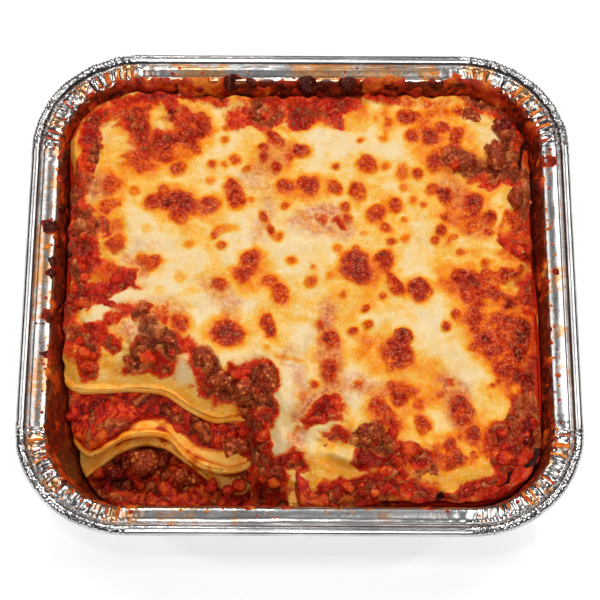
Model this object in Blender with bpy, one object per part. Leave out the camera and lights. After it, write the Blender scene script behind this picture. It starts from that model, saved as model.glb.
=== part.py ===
"""Baked lasagne in a wrinkle-cornered foil tray, about 220 x 211 x 46 mm.

The tray stands on its flat base: the origin is the middle of the base, +Z is up and the front is -Y.
Lengths are in millimetres here, and MM turns them into Blender's metres. The pasta sheets and the
sauces between them run through the whole meal. At the front left corner each layer stops further
back than the one under it, so that all their edges show.
"""

from math import atan2, cos, hypot, pi, radians, sin

import bmesh
import bpy
from mathutils import Vector

MM = 0.001

# --- tray ---------------------------------------------------------------------------------------
RIM_X = 220.0
RIM_Y = 211.0
RIM_Z = 45.0
CORNER_RADIUS = 44.0
FOIL = 0.5
BEAD_RADIUS = 2.1
FLANGE_Z = 43.2
FLANGE_INSET = 4.9
# The inner wall from the base up to the flange's inner edge, as (height, inset from the rim).
WALL_PROFILE = ((0.5, 29.0), (1.9, 25.0), (5.5, 23.2), (41.6, 12.4), (42.7, 11.4))
PLEATS_PER_CORNER = 8
PLEAT_DEPTH = 0.45
BEAD_ANGLES = (150, 90, 45, 0, -60, -120)
SHARP_ANGLE = 50.0

# --- food ---------------------------------------------------------------------------------------
CLEARANCE = 0.8
GAP = 0.3
WAVE_GAP = 0.7
SHEET = 2.0
EDGE_ZONE = 22.0
GAP_ZONE = 34.0
FOOD_FLOOR = FOIL + 0.3
FRONT_BASIN_Z = 8.8
TOPPING_Z = 40.6
TOPPING_DOME = 2.2
DOME_HALF_X = 95.0
DOME_HALF_Y = 92.0
TOPPING_SHOULDER = 15.0
TOPPING_EDGE_DROP = 4.6
THINNEST = 1.4
LIP = 2.0
FACE_SLOPE = 0.9
# A sauce rises from its own front at BACK_SLOPE for BACK_RUN, and the bottom one lies level up to BASIN_LIP.
BACK_SLOPE = 0.5
BACK_RUN = 6.0
BASIN_LIP = 1.0
GAP_GROWTH = 6.0

# The underside of each pasta sheet away from its edges.
SHEET_Z = {"lower": 10.8, "middle": 20.8, "top": 30.8}

# Where each layer ends at the front left, as (x, y) from left to right. OFF lies past the wall.
OFF = -140.0
FRONT = {
    "lower": ((-98, -46), (-91, -56), (-84, -70.5), (-77, -63), (-66, -58), (-54, -58), (-46, -63),
              (-38, -69), (-30, -74), (-23, -76), (-15, -72), (-9, -82), (-2, OFF)),
    "sauce_lower": ((-98, -42), (-90, -52), (-83, -58), (-74, -56), (-62, -53), (-52, -54),
                    (-44, -59), (-34, -66), (-24, -68), (-14, -66), (-7, -76), (2, OFF)),
    "middle": ((-98, -44), (-91, -56), (-84, -63.5), (-77, -62), (-70, -58.5), (-61, -57.5),
               (-52, -58.5), (-45, -65), (-38, -68.5), (-30, -70), (-22, -69), (-14, -65),
               (-6, -75), (4, OFF)),
    "sauce_upper": ((-98, -40), (-91, -50), (-83, -56), (-73, -54), (-63, -50.5), (-54, -50),
                    (-44, -54.5), (-36, -56.5), (-27, -54), (-18, -54.5), (-11, -60), (-3, -74),
                    (10, OFF)),
    "top": ((-98, -32), (-90, -40), (-78, -42), (-66, -41), (-54, -43), (-44, -49), (-34, -53),
            (-24, -53), (-14, -56), (-7, -64), (2, -71), (12, -74), (22, -80), (31, -77),
            (38, -86), (46, OFF)),
    "topping": ((-98, -27), (-90, -35), (-78, -37.5), (-66, -36.5), (-54, -38.5), (-44, -44.5),
                (-34, -48.5), (-24, -49), (-14, -52), (-6, -61), (2, -67), (12, -69), (20, -73),
                (30, -73), (39, -81), (48, OFF)),
}

# Height of the underside along each sheet's front edge, as (x, z): the sheets wave and droop.
EDGE_Z = {
    "lower": ((-98, 11), (-91, 10.5), (-84, 7.6), (-76, 10), (-62, 11.5), (-50, 9.6), (-38, 7),
              (-28, 5.8), (-18, 7), (-8, 9), (0, 10.8)),
    "middle": ((-98, 18), (-91, 16.5), (-84, 14.8), (-75, 19.6), (-62, 22.3), (-53, 21.2),
               (-45, 17), (-36, 14.4), (-26, 14.4), (-15, 17), (0, 20.8)),
    "top": ((-98, 29.5), (-89, 27.2), (-77, 30), (-64, 29), (-52, 30.2), (-42, 28), (-32, 26.4),
            (-22, 28.6), (-10, 28.5), (4, 28.5), (20, 27.8), (32, 29.5), (46, 30.8)),
}

# The top sheet's edge curls up where it meets the wall: (angle, half width in degrees, rise).
CURLS = ((133.0, 16.0, 4.6), (-14.0, 15.0, 3.4))
CURL_DEPTH = 9.0
CURL_REACH = 1.6

# Broad swells and hollows of the topping: (x, y, radius, height).
SWELLS = ((-62, 30, 34, 1.6), (-60, -22, 26, 1.2), (20, 8, 30, 1.5), (62, 66, 26, 1.3),
          (66, -12, 30, 1.8), (40, -58, 26, -1.6), (-20, 68, 26, -1.4), (84, -62, 18, 0.8),
          (-88, 8, 16, -2.0), (4, -64, 18, -4.2), (-14, -60, 12, -3.0), (86, 36, 18, -1.2))

# Mince and tomato: (name, x, y, middle height, half sizes). Those over RESTING_ON_TOP sit in the topping.
MEAT = (
    ("meat_under_arch", -61, -65.2, 16.6, (8.2, 6.2, 5.4)),
    ("meat_on_base_left", -47, -71.0, 13.4, (4.6, 4.4, 4.0)),
    ("meat_on_middle_sheet", -26, -61.6, 24.6, (6.6, 5.6, 4.6)),
    ("meat_left_rear", -38, -30.5, 41.8, (5.6, 5.6, 4.4)),
    ("meat_left_middle", -31.5, -41.0, 40.2, (4.6, 4.4, 4.0)),
    ("meat_left_front", -22, -43.0, 40.2, (4.6, 4.8, 4.2)),
    ("meat_left_right", -12, -40.5, 41.2, (5.0, 7.0, 4.8)),
    ("meat_front", 28, -62.0, 39.6, (7.4, 6.6, 4.6)),
    ("meat_rear_right_inner", 66, 56.6, 42.0, (7.4, 6.6, 4.6)),
    ("meat_rear_right_outer", 80, 59.0, 42.0, (5.0, 8.6, 4.8)),
    ("meat_right_rear", 88, 42.0, 39.8, (4.4, 6.0, 4.0)),
    ("meat_rear", 70, 78.5, 40.0, (5.8, 4.8, 4.0)),
    ("tomato_on_base", -73.6, -68.4, 12.6, (5.0, 4.2, 3.4)),
    ("tomato_right_corner", 88, -60.0, 38.4, (4.6, 8.6, 4.2)),
    ("tomato_rear_corner", 83, 74.0, 39.8, (5.6, 5.2, 4.0)),
    ("tomato_rear_left", -52, 81.0, 39.0, (6.4, 4.6, 3.8)),
)
RESTING_ON_TOP = 35.0
POCKET_GAP = 0.75
LUMP_SEGMENTS = 10
LUMP_RINGS = 6
MEAT_ROUGHNESS = 0.09
RIPPLE_X, RIPPLE_Y, RIPPLE_Z = 4.2, 3.6, 5.0
RIPPLE_SLANT = 3.0
RIPPLE_SHARE_Z = 0.6

# Outline points of a layer, as (first angle, last angle, steps): closest together where the layers show.
OUTLINE_SPANS = ((-25, 25, 3), (25, 65, 6), (65, 115, 3), (115, 155, 6), (155, 198, 4),
                 (198, 270, 20), (270, 300, 7), (300, 335, 5))
EDGE_SHARES = (0.70, 0.80, 0.90, 1.0)
EDGE_SHARES_INWARD = tuple(reversed(EDGE_SHARES))
TOPPING_SHARES = (0.18, 0.36, 0.53, *EDGE_SHARES)
HALVINGS = 40

# --- colours: (red, green, blue), roughness, metallic --------------------------------------------
COLOURS = {
    "foil": ((0.78, 0.78, 0.79), 0.28, 1.0),
    "pasta": ((0.80, 0.50, 0.14), 0.45, 0.0),
    "meat_sauce": ((0.32, 0.035, 0.012), 0.35, 0.0),
    "baked_cheese": ((0.78, 0.45, 0.15), 0.40, 0.0),
    "minced_meat": ((0.20, 0.060, 0.022), 0.45, 0.0),
    "tomato": ((0.38, 0.030, 0.012), 0.30, 0.0),
}


def clamp(value, low=0.0, high=1.0):
    return max(low, min(high, value))


def smooth(share):
    """0 to 1 with no kink at either end."""
    share = clamp(share)
    return share * share * (3 - 2 * share)


def along(points, x):
    """A smooth curve through (x, value) points, flat outside them."""
    if x <= points[0][0]:
        return points[0][1]
    for i in range(1, len(points)):
        if x <= points[i][0]:
            (x0, v0), (x1, v1) = points[i - 1], points[i]
            before, after = points[max(i - 2, 0)], points[min(i + 1, len(points) - 1)]
            step = x1 - x0
            slope0 = (v1 - before[1]) / (x1 - before[0]) * step
            slope1 = (after[1] - v0) / (after[0] - x0) * step
            t = (x - x0) / step
            return ((2 * t**3 - 3 * t**2 + 1) * v0 + (t**3 - 2 * t**2 + t) * slope0
                    + (3 * t**2 - 2 * t**3) * v1 + (t**3 - t**2) * slope1)
    return points[-1][1]


def past_outline(x, y, inset):
    """Distance to the tray's outline drawn in by inset: negative inside it."""
    radius = CORNER_RADIUS - inset
    past_x = abs(x) - (RIM_X / 2 - CORNER_RADIUS)
    past_y = abs(y) - (RIM_Y / 2 - CORNER_RADIUS)
    return hypot(max(past_x, 0), max(past_y, 0)) + min(max(past_x, past_y), 0) - radius


def wall_inset(z):
    """How far the tray's inner wall stands in from the rim at height z."""
    for (z0, inset0), (z1, inset1) in zip(WALL_PROFILE, WALL_PROFILE[1:]):
        if z <= z1:
            return inset0 + (inset1 - inset0) * clamp((z - z0) / (z1 - z0))
    return WALL_PROFILE[-1][1]


def reach(angle, height, front):
    """Distance from the middle to a surface's outline, which ends short of the wall at its own height."""
    near, far = 0.0, RIM_X
    for _ in range(HALVINGS):
        middle = (near + far) / 2
        x, y = middle * cos(angle), middle * sin(angle)
        past_wall = past_outline(x, y, wall_inset(height(x, y)) + CLEARANCE) > 0
        past_front = front is not None and y < along(FRONT[front], x)
        near, far = (near, middle) if past_wall or past_front else (middle, far)
    return near


def edge_share(sheet, x, y, zone=EDGE_ZONE):
    """1 at and past a sheet's front edge, falling to 0 at the zone's depth behind it."""
    return smooth(1 - (y - along(FRONT[sheet], x)) / zone)


def curl(x, y):
    """How far the top sheet's rim is turned up at (x, y)."""
    depth = -past_outline(x, y, wall_inset(SHEET_Z["top"]) + CLEARANCE)
    rim = smooth(1 - depth / CURL_DEPTH)
    angle = atan2(y, x) * 180 / pi
    return sum(rise * rim * smooth(CURL_REACH - abs(angle - at) / half) for at, half, rise in CURLS)


def sheet_under(sheet, x, y):
    share = edge_share(sheet, x, y)
    z = SHEET_Z[sheet] + share * (along(EDGE_Z[sheet], x) - SHEET_Z[sheet])
    return z + curl(x, y) if sheet == "top" else z


def sheet_over(sheet, x, y):
    return sheet_under(sheet, x, y) + SHEET


def gap_at(sheet, x, y):
    """The gap grows where the sheet waves, because there the facets of two layers differ most."""
    lifted = curl(x, y) if sheet == "top" else 0.0
    return GAP + WAVE_GAP * clamp(GAP_GROWTH * edge_share(sheet, x, y, GAP_ZONE) + lifted)


def sauce_over(sheet, own_front, below, x, y):
    """Top of a sauce: it fills up to the sheet above, then slopes down in front of that sheet."""
    lifted = curl(x, y) if sheet == "top" else 0.0
    z = sheet_under(sheet, x, y) - gap_at(sheet, x, y) - lifted
    ahead = along(FRONT[sheet], x) + LIP - y
    lowest = below + THINNEST + BACK_SLOPE * clamp(y - along(FRONT[own_front], x), 0, BACK_RUN)
    z = min(z, max(lowest, z - FACE_SLOPE * max(ahead, 0)))
    return max(z, below + THINNEST)


def base_sauce_over(x, y):
    """The bottom sauce fills up to the lower sheet, and lies level in front of it."""
    z = sheet_under("lower", x, y) - gap_at("lower", x, y)
    return min(FRONT_BASIN_Z, z) if y < along(FRONT["lower"], x) + BASIN_LIP else z


def topping_over(x, y):
    """The baked surface: a low dome with swells, falling off towards the walls and the front step."""
    wall = -past_outline(x, y, wall_inset(TOPPING_Z - TOPPING_EDGE_DROP) + CLEARANCE)
    step = FACE_SLOPE * (y - along(FRONT["topping"], x))
    shoulder = 1 - smooth(min(wall, step) / TOPPING_SHOULDER)
    dome = TOPPING_DOME * (1 - (x / DOME_HALF_X) ** 2) * (1 - (y / DOME_HALF_Y) ** 2)
    z = TOPPING_Z + max(dome, 0) - TOPPING_EDGE_DROP * shoulder
    for swell_x, swell_y, radius, height in SWELLS:
        z += height * smooth(1 - hypot(x - swell_x, y - swell_y) / radius)
    return max(z, topping_under(x, y) + THINNEST)


def topping_under(x, y):
    return sheet_over("top", x, y) + gap_at("top", x, y)


def material(name):
    colour, roughness, metallic = COLOURS[name]
    made = bpy.data.materials.new(name)
    made.use_nodes = True
    made.diffuse_color = (*colour, 1)
    shader = made.node_tree.nodes["Principled BSDF"]
    shader.inputs["Base Color"].default_value = (*colour, 1)
    shader.inputs["Roughness"].default_value = roughness
    shader.inputs["Metallic"].default_value = metallic
    return made


def add_object(name, mesh_tools, look):
    bmesh.ops.recalc_face_normals(mesh_tools, faces=mesh_tools.faces)
    mesh = bpy.data.meshes.new(name)
    mesh_tools.to_mesh(mesh)
    mesh_tools.free()
    mesh.materials.append(look)
    mesh.shade_smooth()
    mesh.set_sharp_from_angle(angle=radians(SHARP_ANGLE))
    made = bpy.data.objects.new(name, mesh)
    bpy.context.scene.collection.objects.link(made)
    return made


def loft(name, rings, look):
    """A closed solid through rings of (x, y, z) in millimetres. A ring of one point ends in a fan.

    Each four-sided face is cut from its inner point i to its outer point i + 1, so that two surfaces
    that face each other bend along the same lines.
    """
    tools = bmesh.new()
    loops = [[tools.verts.new(Vector(p) * MM) for p in ring] for ring in rings]
    for first, second in zip(loops, loops[1:]):
        count = max(len(first), len(second))
        for i in range(count):
            j = (i + 1) % count
            if len(first) == 1:
                tools.faces.new((first[0], second[i], second[j]))
            elif len(second) == 1:
                tools.faces.new((first[i], second[0], first[j]))
            elif first[i].co.xy.length < second[i].co.xy.length:
                tools.faces.new((first[i], second[i], second[j]))
                tools.faces.new((first[i], second[j], first[j]))
            else:
                tools.faces.new((first[i], second[i], first[j]))
                tools.faces.new((second[i], second[j], first[j]))
    for end in (loops[0], loops[-1]):
        if len(end) > 1:
            tools.faces.new(end)
    return add_object(name, tools, look)


def tray_ring(inset, z, radial_pleat=0.0, lifting_pleat=0.0):
    """One ring of the tray. In the corners every second point steps in or up, which makes the pleats."""
    radius = CORNER_RADIUS - inset
    steps = 2 * PLEATS_PER_CORNER
    ring = []
    for corner in range(4):
        side_x = 1 if corner in (0, 3) else -1
        side_y = 1 if corner in (0, 1) else -1
        centre_x = side_x * (RIM_X / 2 - CORNER_RADIUS)
        centre_y = side_y * (RIM_Y / 2 - CORNER_RADIUS)
        for i in range(steps + 1):
            angle = (corner + i / steps) * pi / 2
            fold = i % 2 if 0 < i < steps else 0
            out = radius - fold * radial_pleat
            x, y = centre_x + out * cos(angle), centre_y + out * sin(angle)
            ring.append((x, y, z + fold * lifting_pleat))
    return ring


def make_tray(look):
    bead_z = RIM_Z - BEAD_RADIUS
    pleats = ((0.0, 0.0), (0.0, 0.0), (PLEAT_DEPTH, 0.0), (PLEAT_DEPTH, 0.0), (0.0, PLEAT_DEPTH))
    inner = [(inset, z, *folds) for (z, inset), folds in zip(WALL_PROFILE, pleats)]
    rings = [tray_ring(*step) for step in inner]
    rings.append(tray_ring(FLANGE_INSET, FLANGE_Z, 0.0, PLEAT_DEPTH))
    for degrees in BEAD_ANGLES:
        turn = radians(degrees)
        rings.append(tray_ring(BEAD_RADIUS - BEAD_RADIUS * cos(turn), bead_z + BEAD_RADIUS * sin(turn)))
    rings.append(tray_ring(FLANGE_INSET, FLANGE_Z - FOIL, 0.0, PLEAT_DEPTH))
    for inset, z, *folds in reversed(inner):
        rings.append(tray_ring(inset - FOIL, z - FOIL, *folds))
    return loft("foil_tray", rings, look)


def directions():
    return [radians(a + (b - a) * i / n) for a, b, n in OUTLINE_SPANS for i in range(n)]


def layer_rings(over, under, front, over_shares, under_shares):
    """Rings of a layer: out over its top, down its side and back in along its underside."""
    angles = directions()
    rings = [[(0, 0, over(0, 0))]]
    for height, shares in ((over, over_shares), (under, under_shares)):
        reaches = [reach(angle, height, front) for angle in angles]
        for share in shares:
            ring = []
            for angle, length in zip(angles, reaches):
                x, y = share * length * cos(angle), share * length * sin(angle)
                ring.append((x, y, height(x, y)))
            rings.append(ring)
    rings.append([(0, 0, under(0, 0))])
    return rings


def make_sheet(sheet, look):
    def over(x, y):
        return sheet_over(sheet, x, y)

    def under(x, y):
        return sheet_under(sheet, x, y)

    rings = layer_rings(over, under, sheet, EDGE_SHARES, EDGE_SHARES_INWARD)
    return loft(f"pasta_sheet_{sheet}", rings, look)


def make_sauce(name, own_front, above, below, look):
    def under(x, y):
        return sheet_over(below, x, y) + gap_at(below, x, y)

    def over(x, y):
        return sauce_over(above, own_front, under(x, y), x, y)

    rings = layer_rings(over, under, own_front, EDGE_SHARES, EDGE_SHARES_INWARD)
    return loft(name, rings, look)


def make_base_sauce(look):
    def floor(x, y):
        return FOOD_FLOOR

    rings = layer_rings(base_sauce_over, floor, None, EDGE_SHARES, (1.0,))
    return loft("meat_sauce_base", rings[:-1], look)


def make_topping(look, pockets):
    rings = layer_rings(topping_over, topping_under, "topping", TOPPING_SHARES, EDGE_SHARES_INWARD)
    topping = loft("baked_cheese_topping", rings, look)
    for pocket in pockets:
        cut = topping.modifiers.new(pocket.name, "BOOLEAN")
        cut.object = pocket
        cut.operation = "DIFFERENCE"
        cut.solver = "EXACT"
    return topping


def lump(name, place, half_sizes, grow, look):
    """A knobbly ball of mince: an ellipsoid whose radius ripples, the same for a piece and its pocket."""
    tools = bmesh.new()
    bmesh.ops.create_uvsphere(tools, u_segments=LUMP_SEGMENTS, v_segments=LUMP_RINGS, radius=1.0)
    phase = place[0] * 0.7 + place[1] * 0.3
    for vert in tools.verts:
        x, y, z = vert.co
        ripple = sin(RIPPLE_X * x + phase) * cos(RIPPLE_Y * y - phase)
        ripple += RIPPLE_SHARE_Z * sin(RIPPLE_Z * z + 2 * phase + RIPPLE_SLANT * x)
        swell = 1 + MEAT_ROUGHNESS * ripple
        vert.co = Vector([(p + d * (h * swell + grow)) * MM
                          for p, d, h in zip(place, (x, y, z), half_sizes)])
    return add_object(name, tools, look)


def make_lumps(looks):
    """Every piece of mince and tomato, and a slightly larger pocket for each that sits in the topping."""
    pockets = []
    for name, x, y, z, half_sizes in MEAT:
        look = looks["tomato" if name.startswith("tomato") else "minced_meat"]
        lump(name, (x, y, z), half_sizes, 0.0, look)
        if z > RESTING_ON_TOP:
            pocket = lump(f"pocket_{name}", (x, y, z), half_sizes, POCKET_GAP, look)
            pocket.hide_render = True
            pocket.display_type = "WIRE"
            pockets.append(pocket)
    return pockets


def main():
    for old in list(bpy.data.objects):
        bpy.data.objects.remove(old)
    looks = {name: material(name) for name in COLOURS}
    make_tray(looks["foil"])
    make_base_sauce(looks["meat_sauce"])
    make_sheet("lower", looks["pasta"])
    make_sauce("meat_sauce_lower", "sauce_lower", "middle", "lower", looks["meat_sauce"])
    make_sheet("middle", looks["pasta"])
    make_sauce("meat_sauce_upper", "sauce_upper", "top", "middle", looks["meat_sauce"])
    make_sheet("top", looks["pasta"])
    make_topping(looks["baked_cheese"], make_lumps(looks))


main()
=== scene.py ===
"""Looks of the baked lasagne in its foil tray.

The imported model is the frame. A piece here stands for one of its nodes, or adds small things on the food or
the tray. Lengths are in millimetres, as in the model's own source, and MM turns them into Blender's metres.
Marks on the food are placed in the level plane at MARK_Z and slide along the slant LEAN onto the surface that
they lie on. Every use of noise has a seed of its own, the number after its size.
"""

from math import cos, dist, pi, radians, sin, sqrt, tan

import bmesh
import bpy
import numpy as np
from mathutils import Matrix, Vector


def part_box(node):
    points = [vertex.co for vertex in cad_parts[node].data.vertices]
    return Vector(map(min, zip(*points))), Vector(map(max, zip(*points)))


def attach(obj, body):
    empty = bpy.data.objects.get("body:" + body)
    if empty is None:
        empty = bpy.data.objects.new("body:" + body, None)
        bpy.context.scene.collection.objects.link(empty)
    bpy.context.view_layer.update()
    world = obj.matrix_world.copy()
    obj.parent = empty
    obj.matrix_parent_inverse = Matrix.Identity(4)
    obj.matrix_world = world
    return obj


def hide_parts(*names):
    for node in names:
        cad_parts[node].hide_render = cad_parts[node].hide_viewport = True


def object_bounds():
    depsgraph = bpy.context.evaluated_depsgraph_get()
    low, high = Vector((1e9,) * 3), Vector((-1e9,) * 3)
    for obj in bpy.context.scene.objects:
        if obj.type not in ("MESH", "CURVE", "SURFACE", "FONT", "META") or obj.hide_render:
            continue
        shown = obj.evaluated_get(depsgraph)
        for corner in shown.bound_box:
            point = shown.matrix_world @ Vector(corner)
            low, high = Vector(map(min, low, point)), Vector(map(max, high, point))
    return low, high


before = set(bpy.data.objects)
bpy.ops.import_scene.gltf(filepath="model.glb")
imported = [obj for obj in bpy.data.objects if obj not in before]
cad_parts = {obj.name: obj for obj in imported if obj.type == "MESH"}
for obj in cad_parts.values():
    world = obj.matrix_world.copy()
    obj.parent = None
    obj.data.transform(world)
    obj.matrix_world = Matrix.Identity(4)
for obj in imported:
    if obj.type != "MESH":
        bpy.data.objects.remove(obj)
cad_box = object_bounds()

MM = 0.001
TRAY_LOW, TRAY_HIGH = (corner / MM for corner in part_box("foil_tray"))
RIM_X = TRAY_HIGH.x - TRAY_LOW.x
RIM_Y = TRAY_HIGH.y - TRAY_LOW.y
RIM_Z = TRAY_HIGH.z

# --- tray ---
CORNER_RADIUS = 44.0
FOIL = 0.5
BEAD_RADIUS = 2.1
WALL_HEIGHTS = (0.5, 1.9, 5.5, 41.6, 42.7)
WALL_INSETS = (29.0, 25.0, 23.2, 12.4, 11.4)

# --- food, as in the model ---
CLEARANCE = 0.8
GAP = 0.3
WAVE_GAP = 0.7
SHEET = 2.0
EDGE_ZONE = 22.0
GAP_ZONE = 34.0
EDGE_ROLL = 7.0
FRONT_BASIN_Z = 8.8
TOPPING_Z = 40.6
TOPPING_DOME = 2.2
TOPPING_SHOULDER = 15.0
TOPPING_EDGE_DROP = 4.6
THINNEST = 1.4
LIP = 2.0
FACE_SLOPE = 0.9
SHEET_Z = {"lower": 10.8, "middle": 20.8, "top": 30.8}
OFF = -140.0
# Front edges of the layers, from the left: (x, y). OFF lies past the tray's near wall.
FRONT = {
    "lower": (
        (-98, -46), (-91, -56), (-84, -70.5), (-77, -63), (-66, -58), (-54, -58), (-46, -63), (-38, -69),
        (-30, -74), (-23, -76), (-15, -72), (-9, -82), (-2, OFF),
    ),
    "sauce_lower": (
        (-98, -42), (-90, -52), (-83, -58), (-74, -56), (-62, -53), (-52, -54), (-44, -59), (-34, -66),
        (-24, -68), (-14, -66), (-7, -76), (2, OFF),
    ),
    "middle": (
        (-98, -44), (-91, -56), (-84, -63.5), (-77, -62), (-70, -58.5), (-61, -57.5), (-52, -58.5),
        (-45, -65), (-38, -68.5), (-30, -70), (-22, -69), (-14, -65), (-6, -75), (4, OFF),
    ),
    "sauce_upper": (
        (-98, -42), (-91, -53.5), (-84, -60.5), (-77, -59.5), (-70, -55), (-62, -50), (-54, -49.5),
        (-44, -56), (-36, -60.5), (-27, -60), (-18, -58), (-11, -61), (-3, -74), (10, OFF),
    ),
    "top": (
        (-98, -32), (-90, -40), (-78, -42), (-66, -41), (-54, -43), (-44, -49), (-34, -53), (-24, -53),
        (-14, -56), (-7, -64), (2, -71), (12, -74), (22, -80), (31, -77), (38, -86), (46, OFF),
    ),
    "dressed": (
        (-98, -30.6), (-90, -38.6), (-78, -40.6), (-66, -39.6), (-54, -41.6), (-44, -47.4), (-34, -51.4),
        (-25, -51.6), (-22, -57), (-20.5, -66), (-19, -76), (-17, -84), (-15, OFF),
    ),
    "topping": (
        (-98, -27), (-90, -35), (-78, -37.5), (-66, -36.5), (-54, -38.5), (-44, -44.5), (-34, -48.5),
        (-24, -49), (-14, -52), (-6, -61), (2, -67), (12, -69), (20, -73), (30, -73), (39, -81), (48, OFF),
    ),
}
# Heights of the sheets' undersides along their front edges: (x, height).
EDGE_Z = {
    "lower": (
        (-98, 11), (-91, 10.5), (-84, 7.6), (-76, 10), (-62, 11.5), (-50, 9.6), (-38, 7), (-28, 5.8),
        (-18, 7), (-8, 9), (0, 10.8),
    ),
    "middle": (
        (-98, 18), (-91, 16.5), (-84, 14.8), (-75, 19.6), (-62, 22.3), (-53, 21.2), (-45, 17), (-36, 14.4),
        (-26, 14.4), (-15, 17), (0, 20.8),
    ),
    "top": (
        (-98, 29.5), (-89, 27.2), (-77, 30), (-64, 29), (-52, 30.2), (-42, 28), (-32, 26.4), (-22, 28.6),
        (-10, 28.5), (4, 28.5), (20, 27.8), (32, 29.5), (46, 30.8),
    ),
}
# Where the top sheet curls up at the wall: (direction in degrees, half width of it, rise).
CURLS = ((133.0, 16.0, 4.6), (-14.0, 15.0, 3.4))
# Swells and hollows of the topping: (x, y, radius, height).
SWELLS = ((-62, 30, 34, 1.6), (-60, -22, 26, 1.2), (20, 8, 30, 1.5), (62, 66, 26, 1.3),
          (66, -12, 30, 1.8), (40, -58, 26, -1.6), (-20, 68, 26, -1.4), (84, -62, 18, 0.8),
          (-88, 8, 16, -2.0), (4, -64, 18, -4.2), (-14, -60, 12, -3.0), (86, 36, 18, -1.2))

# --- marks on the food ---
MARK_Z = 42.0
LEAN = 1 / tan(radians(64.9))

# Round browned spots: (x, y, radius, strength). Full strength is nearly black, a third is golden.
SPOTS = (
    (-58, 37, 4.5, .75), (-56, 42, 3, .6), (-49, 29.5, 3.5, .65), (-37, 36, 4.5, .7), (-45, 18, 2.5, .45),
    (-48, 3, 2.5, .42), (-34, 22, 2, .55), (-31, 17, 2, .55), (-59, 9, 4, .6), (-63, 11, 2.5, .45),
    (-77, 44, 4, .6), (-78, 35, 4, .5), (-74, 26, 3.5, .4), (-74, 18, 4, .65), (-78, 5, 6, .5),
    (-32, 0, 3, .7), (-47, -17, 4, .75), (-84, -13, 1.5, .35), (-56, -3, 2, .3), (-90, -21, 3, .6),
    (-67, 42, 2.5, .35), (-62, 25, 2, .2), (-12, 2, 3, .6), (-3.5, 11, 2, .45), (4, 1, 2.5, .55),
    (5, 7.5, 1, .4), (24, 3, 3.5, 1), (33.5, 11, 4.5, 1), (36.5, 19.5, 2, .8), (31, 32, 4, .7),
    (34, 26, 2.5, .6), (47, -1, 5, 1), (33, -4, 1.5, .5), (26, -10, 2, .65), (27, -17, 2.2, .6),
    (21, -20, 2, .65), (17, -4, 1.5, .4), (33, -19, 1, .3), (18, 35, 2.2, .7), (3, 46, 4.5, .85),
    (-6, 46, 3.5, .65), (23, 42, 3.5, .75), (38, 36, 3, .7), (22, 16, 1.5, .55), (15, 16, 2, .4),
    (12, 4, 2, .3), (42, 21, 2.5, .35), (42, 30, 1.5, .35), (26, 23, 1.5, .25), (-6, 36, 2, .5),
    (-20, 38, 1.5, .45), (19, 30, 2.5, .7), (-9, 21, 2, .45), (8, -17, 2, .6), (12, -23, 4, .9),
    (6, -43, 2, .55), (1, -48, 2, .4), (-28, -20, 6, 1), (-29, -13, 1, .5), (-13, -28, 1.5, .4),
    (41, -23, 3.5, .9), (23, -43, 1.7, .6), (36, -44, 2.5, .6), (39, -49, 4, .75), (43, -46, 2, .5),
    (30, -52, 4, .6), (33, -56, 3.5, .75), (36, -64, 3.5, .8), (34, 54, 2, .4), (14, 54, 1.7, .55),
    (41, 50, 3.5, .4), (48, 50, 2.5, .7), (-15, 62, 2.3, .75), (-15, 57, 2.2, .75), (-10, 53, 2.4, .75),
    (-4, 58, 2, .5), (-27, 57, 2.5, .5), (-22, 52, 1.7, .55), (-31, 66, 1.5, .5), (-31, 71, 1.5, .5),
    (25, 66, 1.7, .5), (34, 66, 2, .35), (36, 74, 2.5, .4), (27, 81, 2, .3), (-36, 54, 2, .5),
    (-37, 47, 2, .3), (-31, 54, 1.5, .35), (-65, 58, 4, .65), (-65, 52, 2.5, .6), (-55, 58, 3.5, .7),
    (-43, 62, 3.5, .75), (-66, 76, 4, .8), (58, 72, 3, .85), (46, 68, 3, .6), (65, 80, 2.5, .8),
    (61, 58, 3, .8), (54, 43, 3, .6), (50, 36.5, 1.5, .5), (58, 30, 1.5, .5), (76, 24, 2, .7),
    (56, 24, 2.5, .65), (54, 20, 2, .65), (62, 21.5, 1.5, .55), (46, 39, 2, .35), (42, 44, 2, .35),
    (69, 4, 3, .95), (74, 10, 2, .85), (65, 15, 2, .5), (83, -7.5, 3.5, 1), (62, -13, 2, .7),
    (69, -12, 2.5, .75), (71, -15, 2, .7), (66, -6, 3, .6), (58, -18, 2, .65), (73, -22, 3, .7),
    (68, -27, 1.8, .4), (75, -24, 2, .6), (90, -43, 5.5, 1), (59, -42, 1.8, .6), (55, -47, 1.5, .55),
    (67, -64, 3, .85), (58, -68, 2.5, .7), (67, -72, 1.8, .6), (47, -52, 2.5, .35), (53, -70, 3, .4),
    (74, -55, 2, .25), (79, -63, 5, .85),
)

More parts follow.
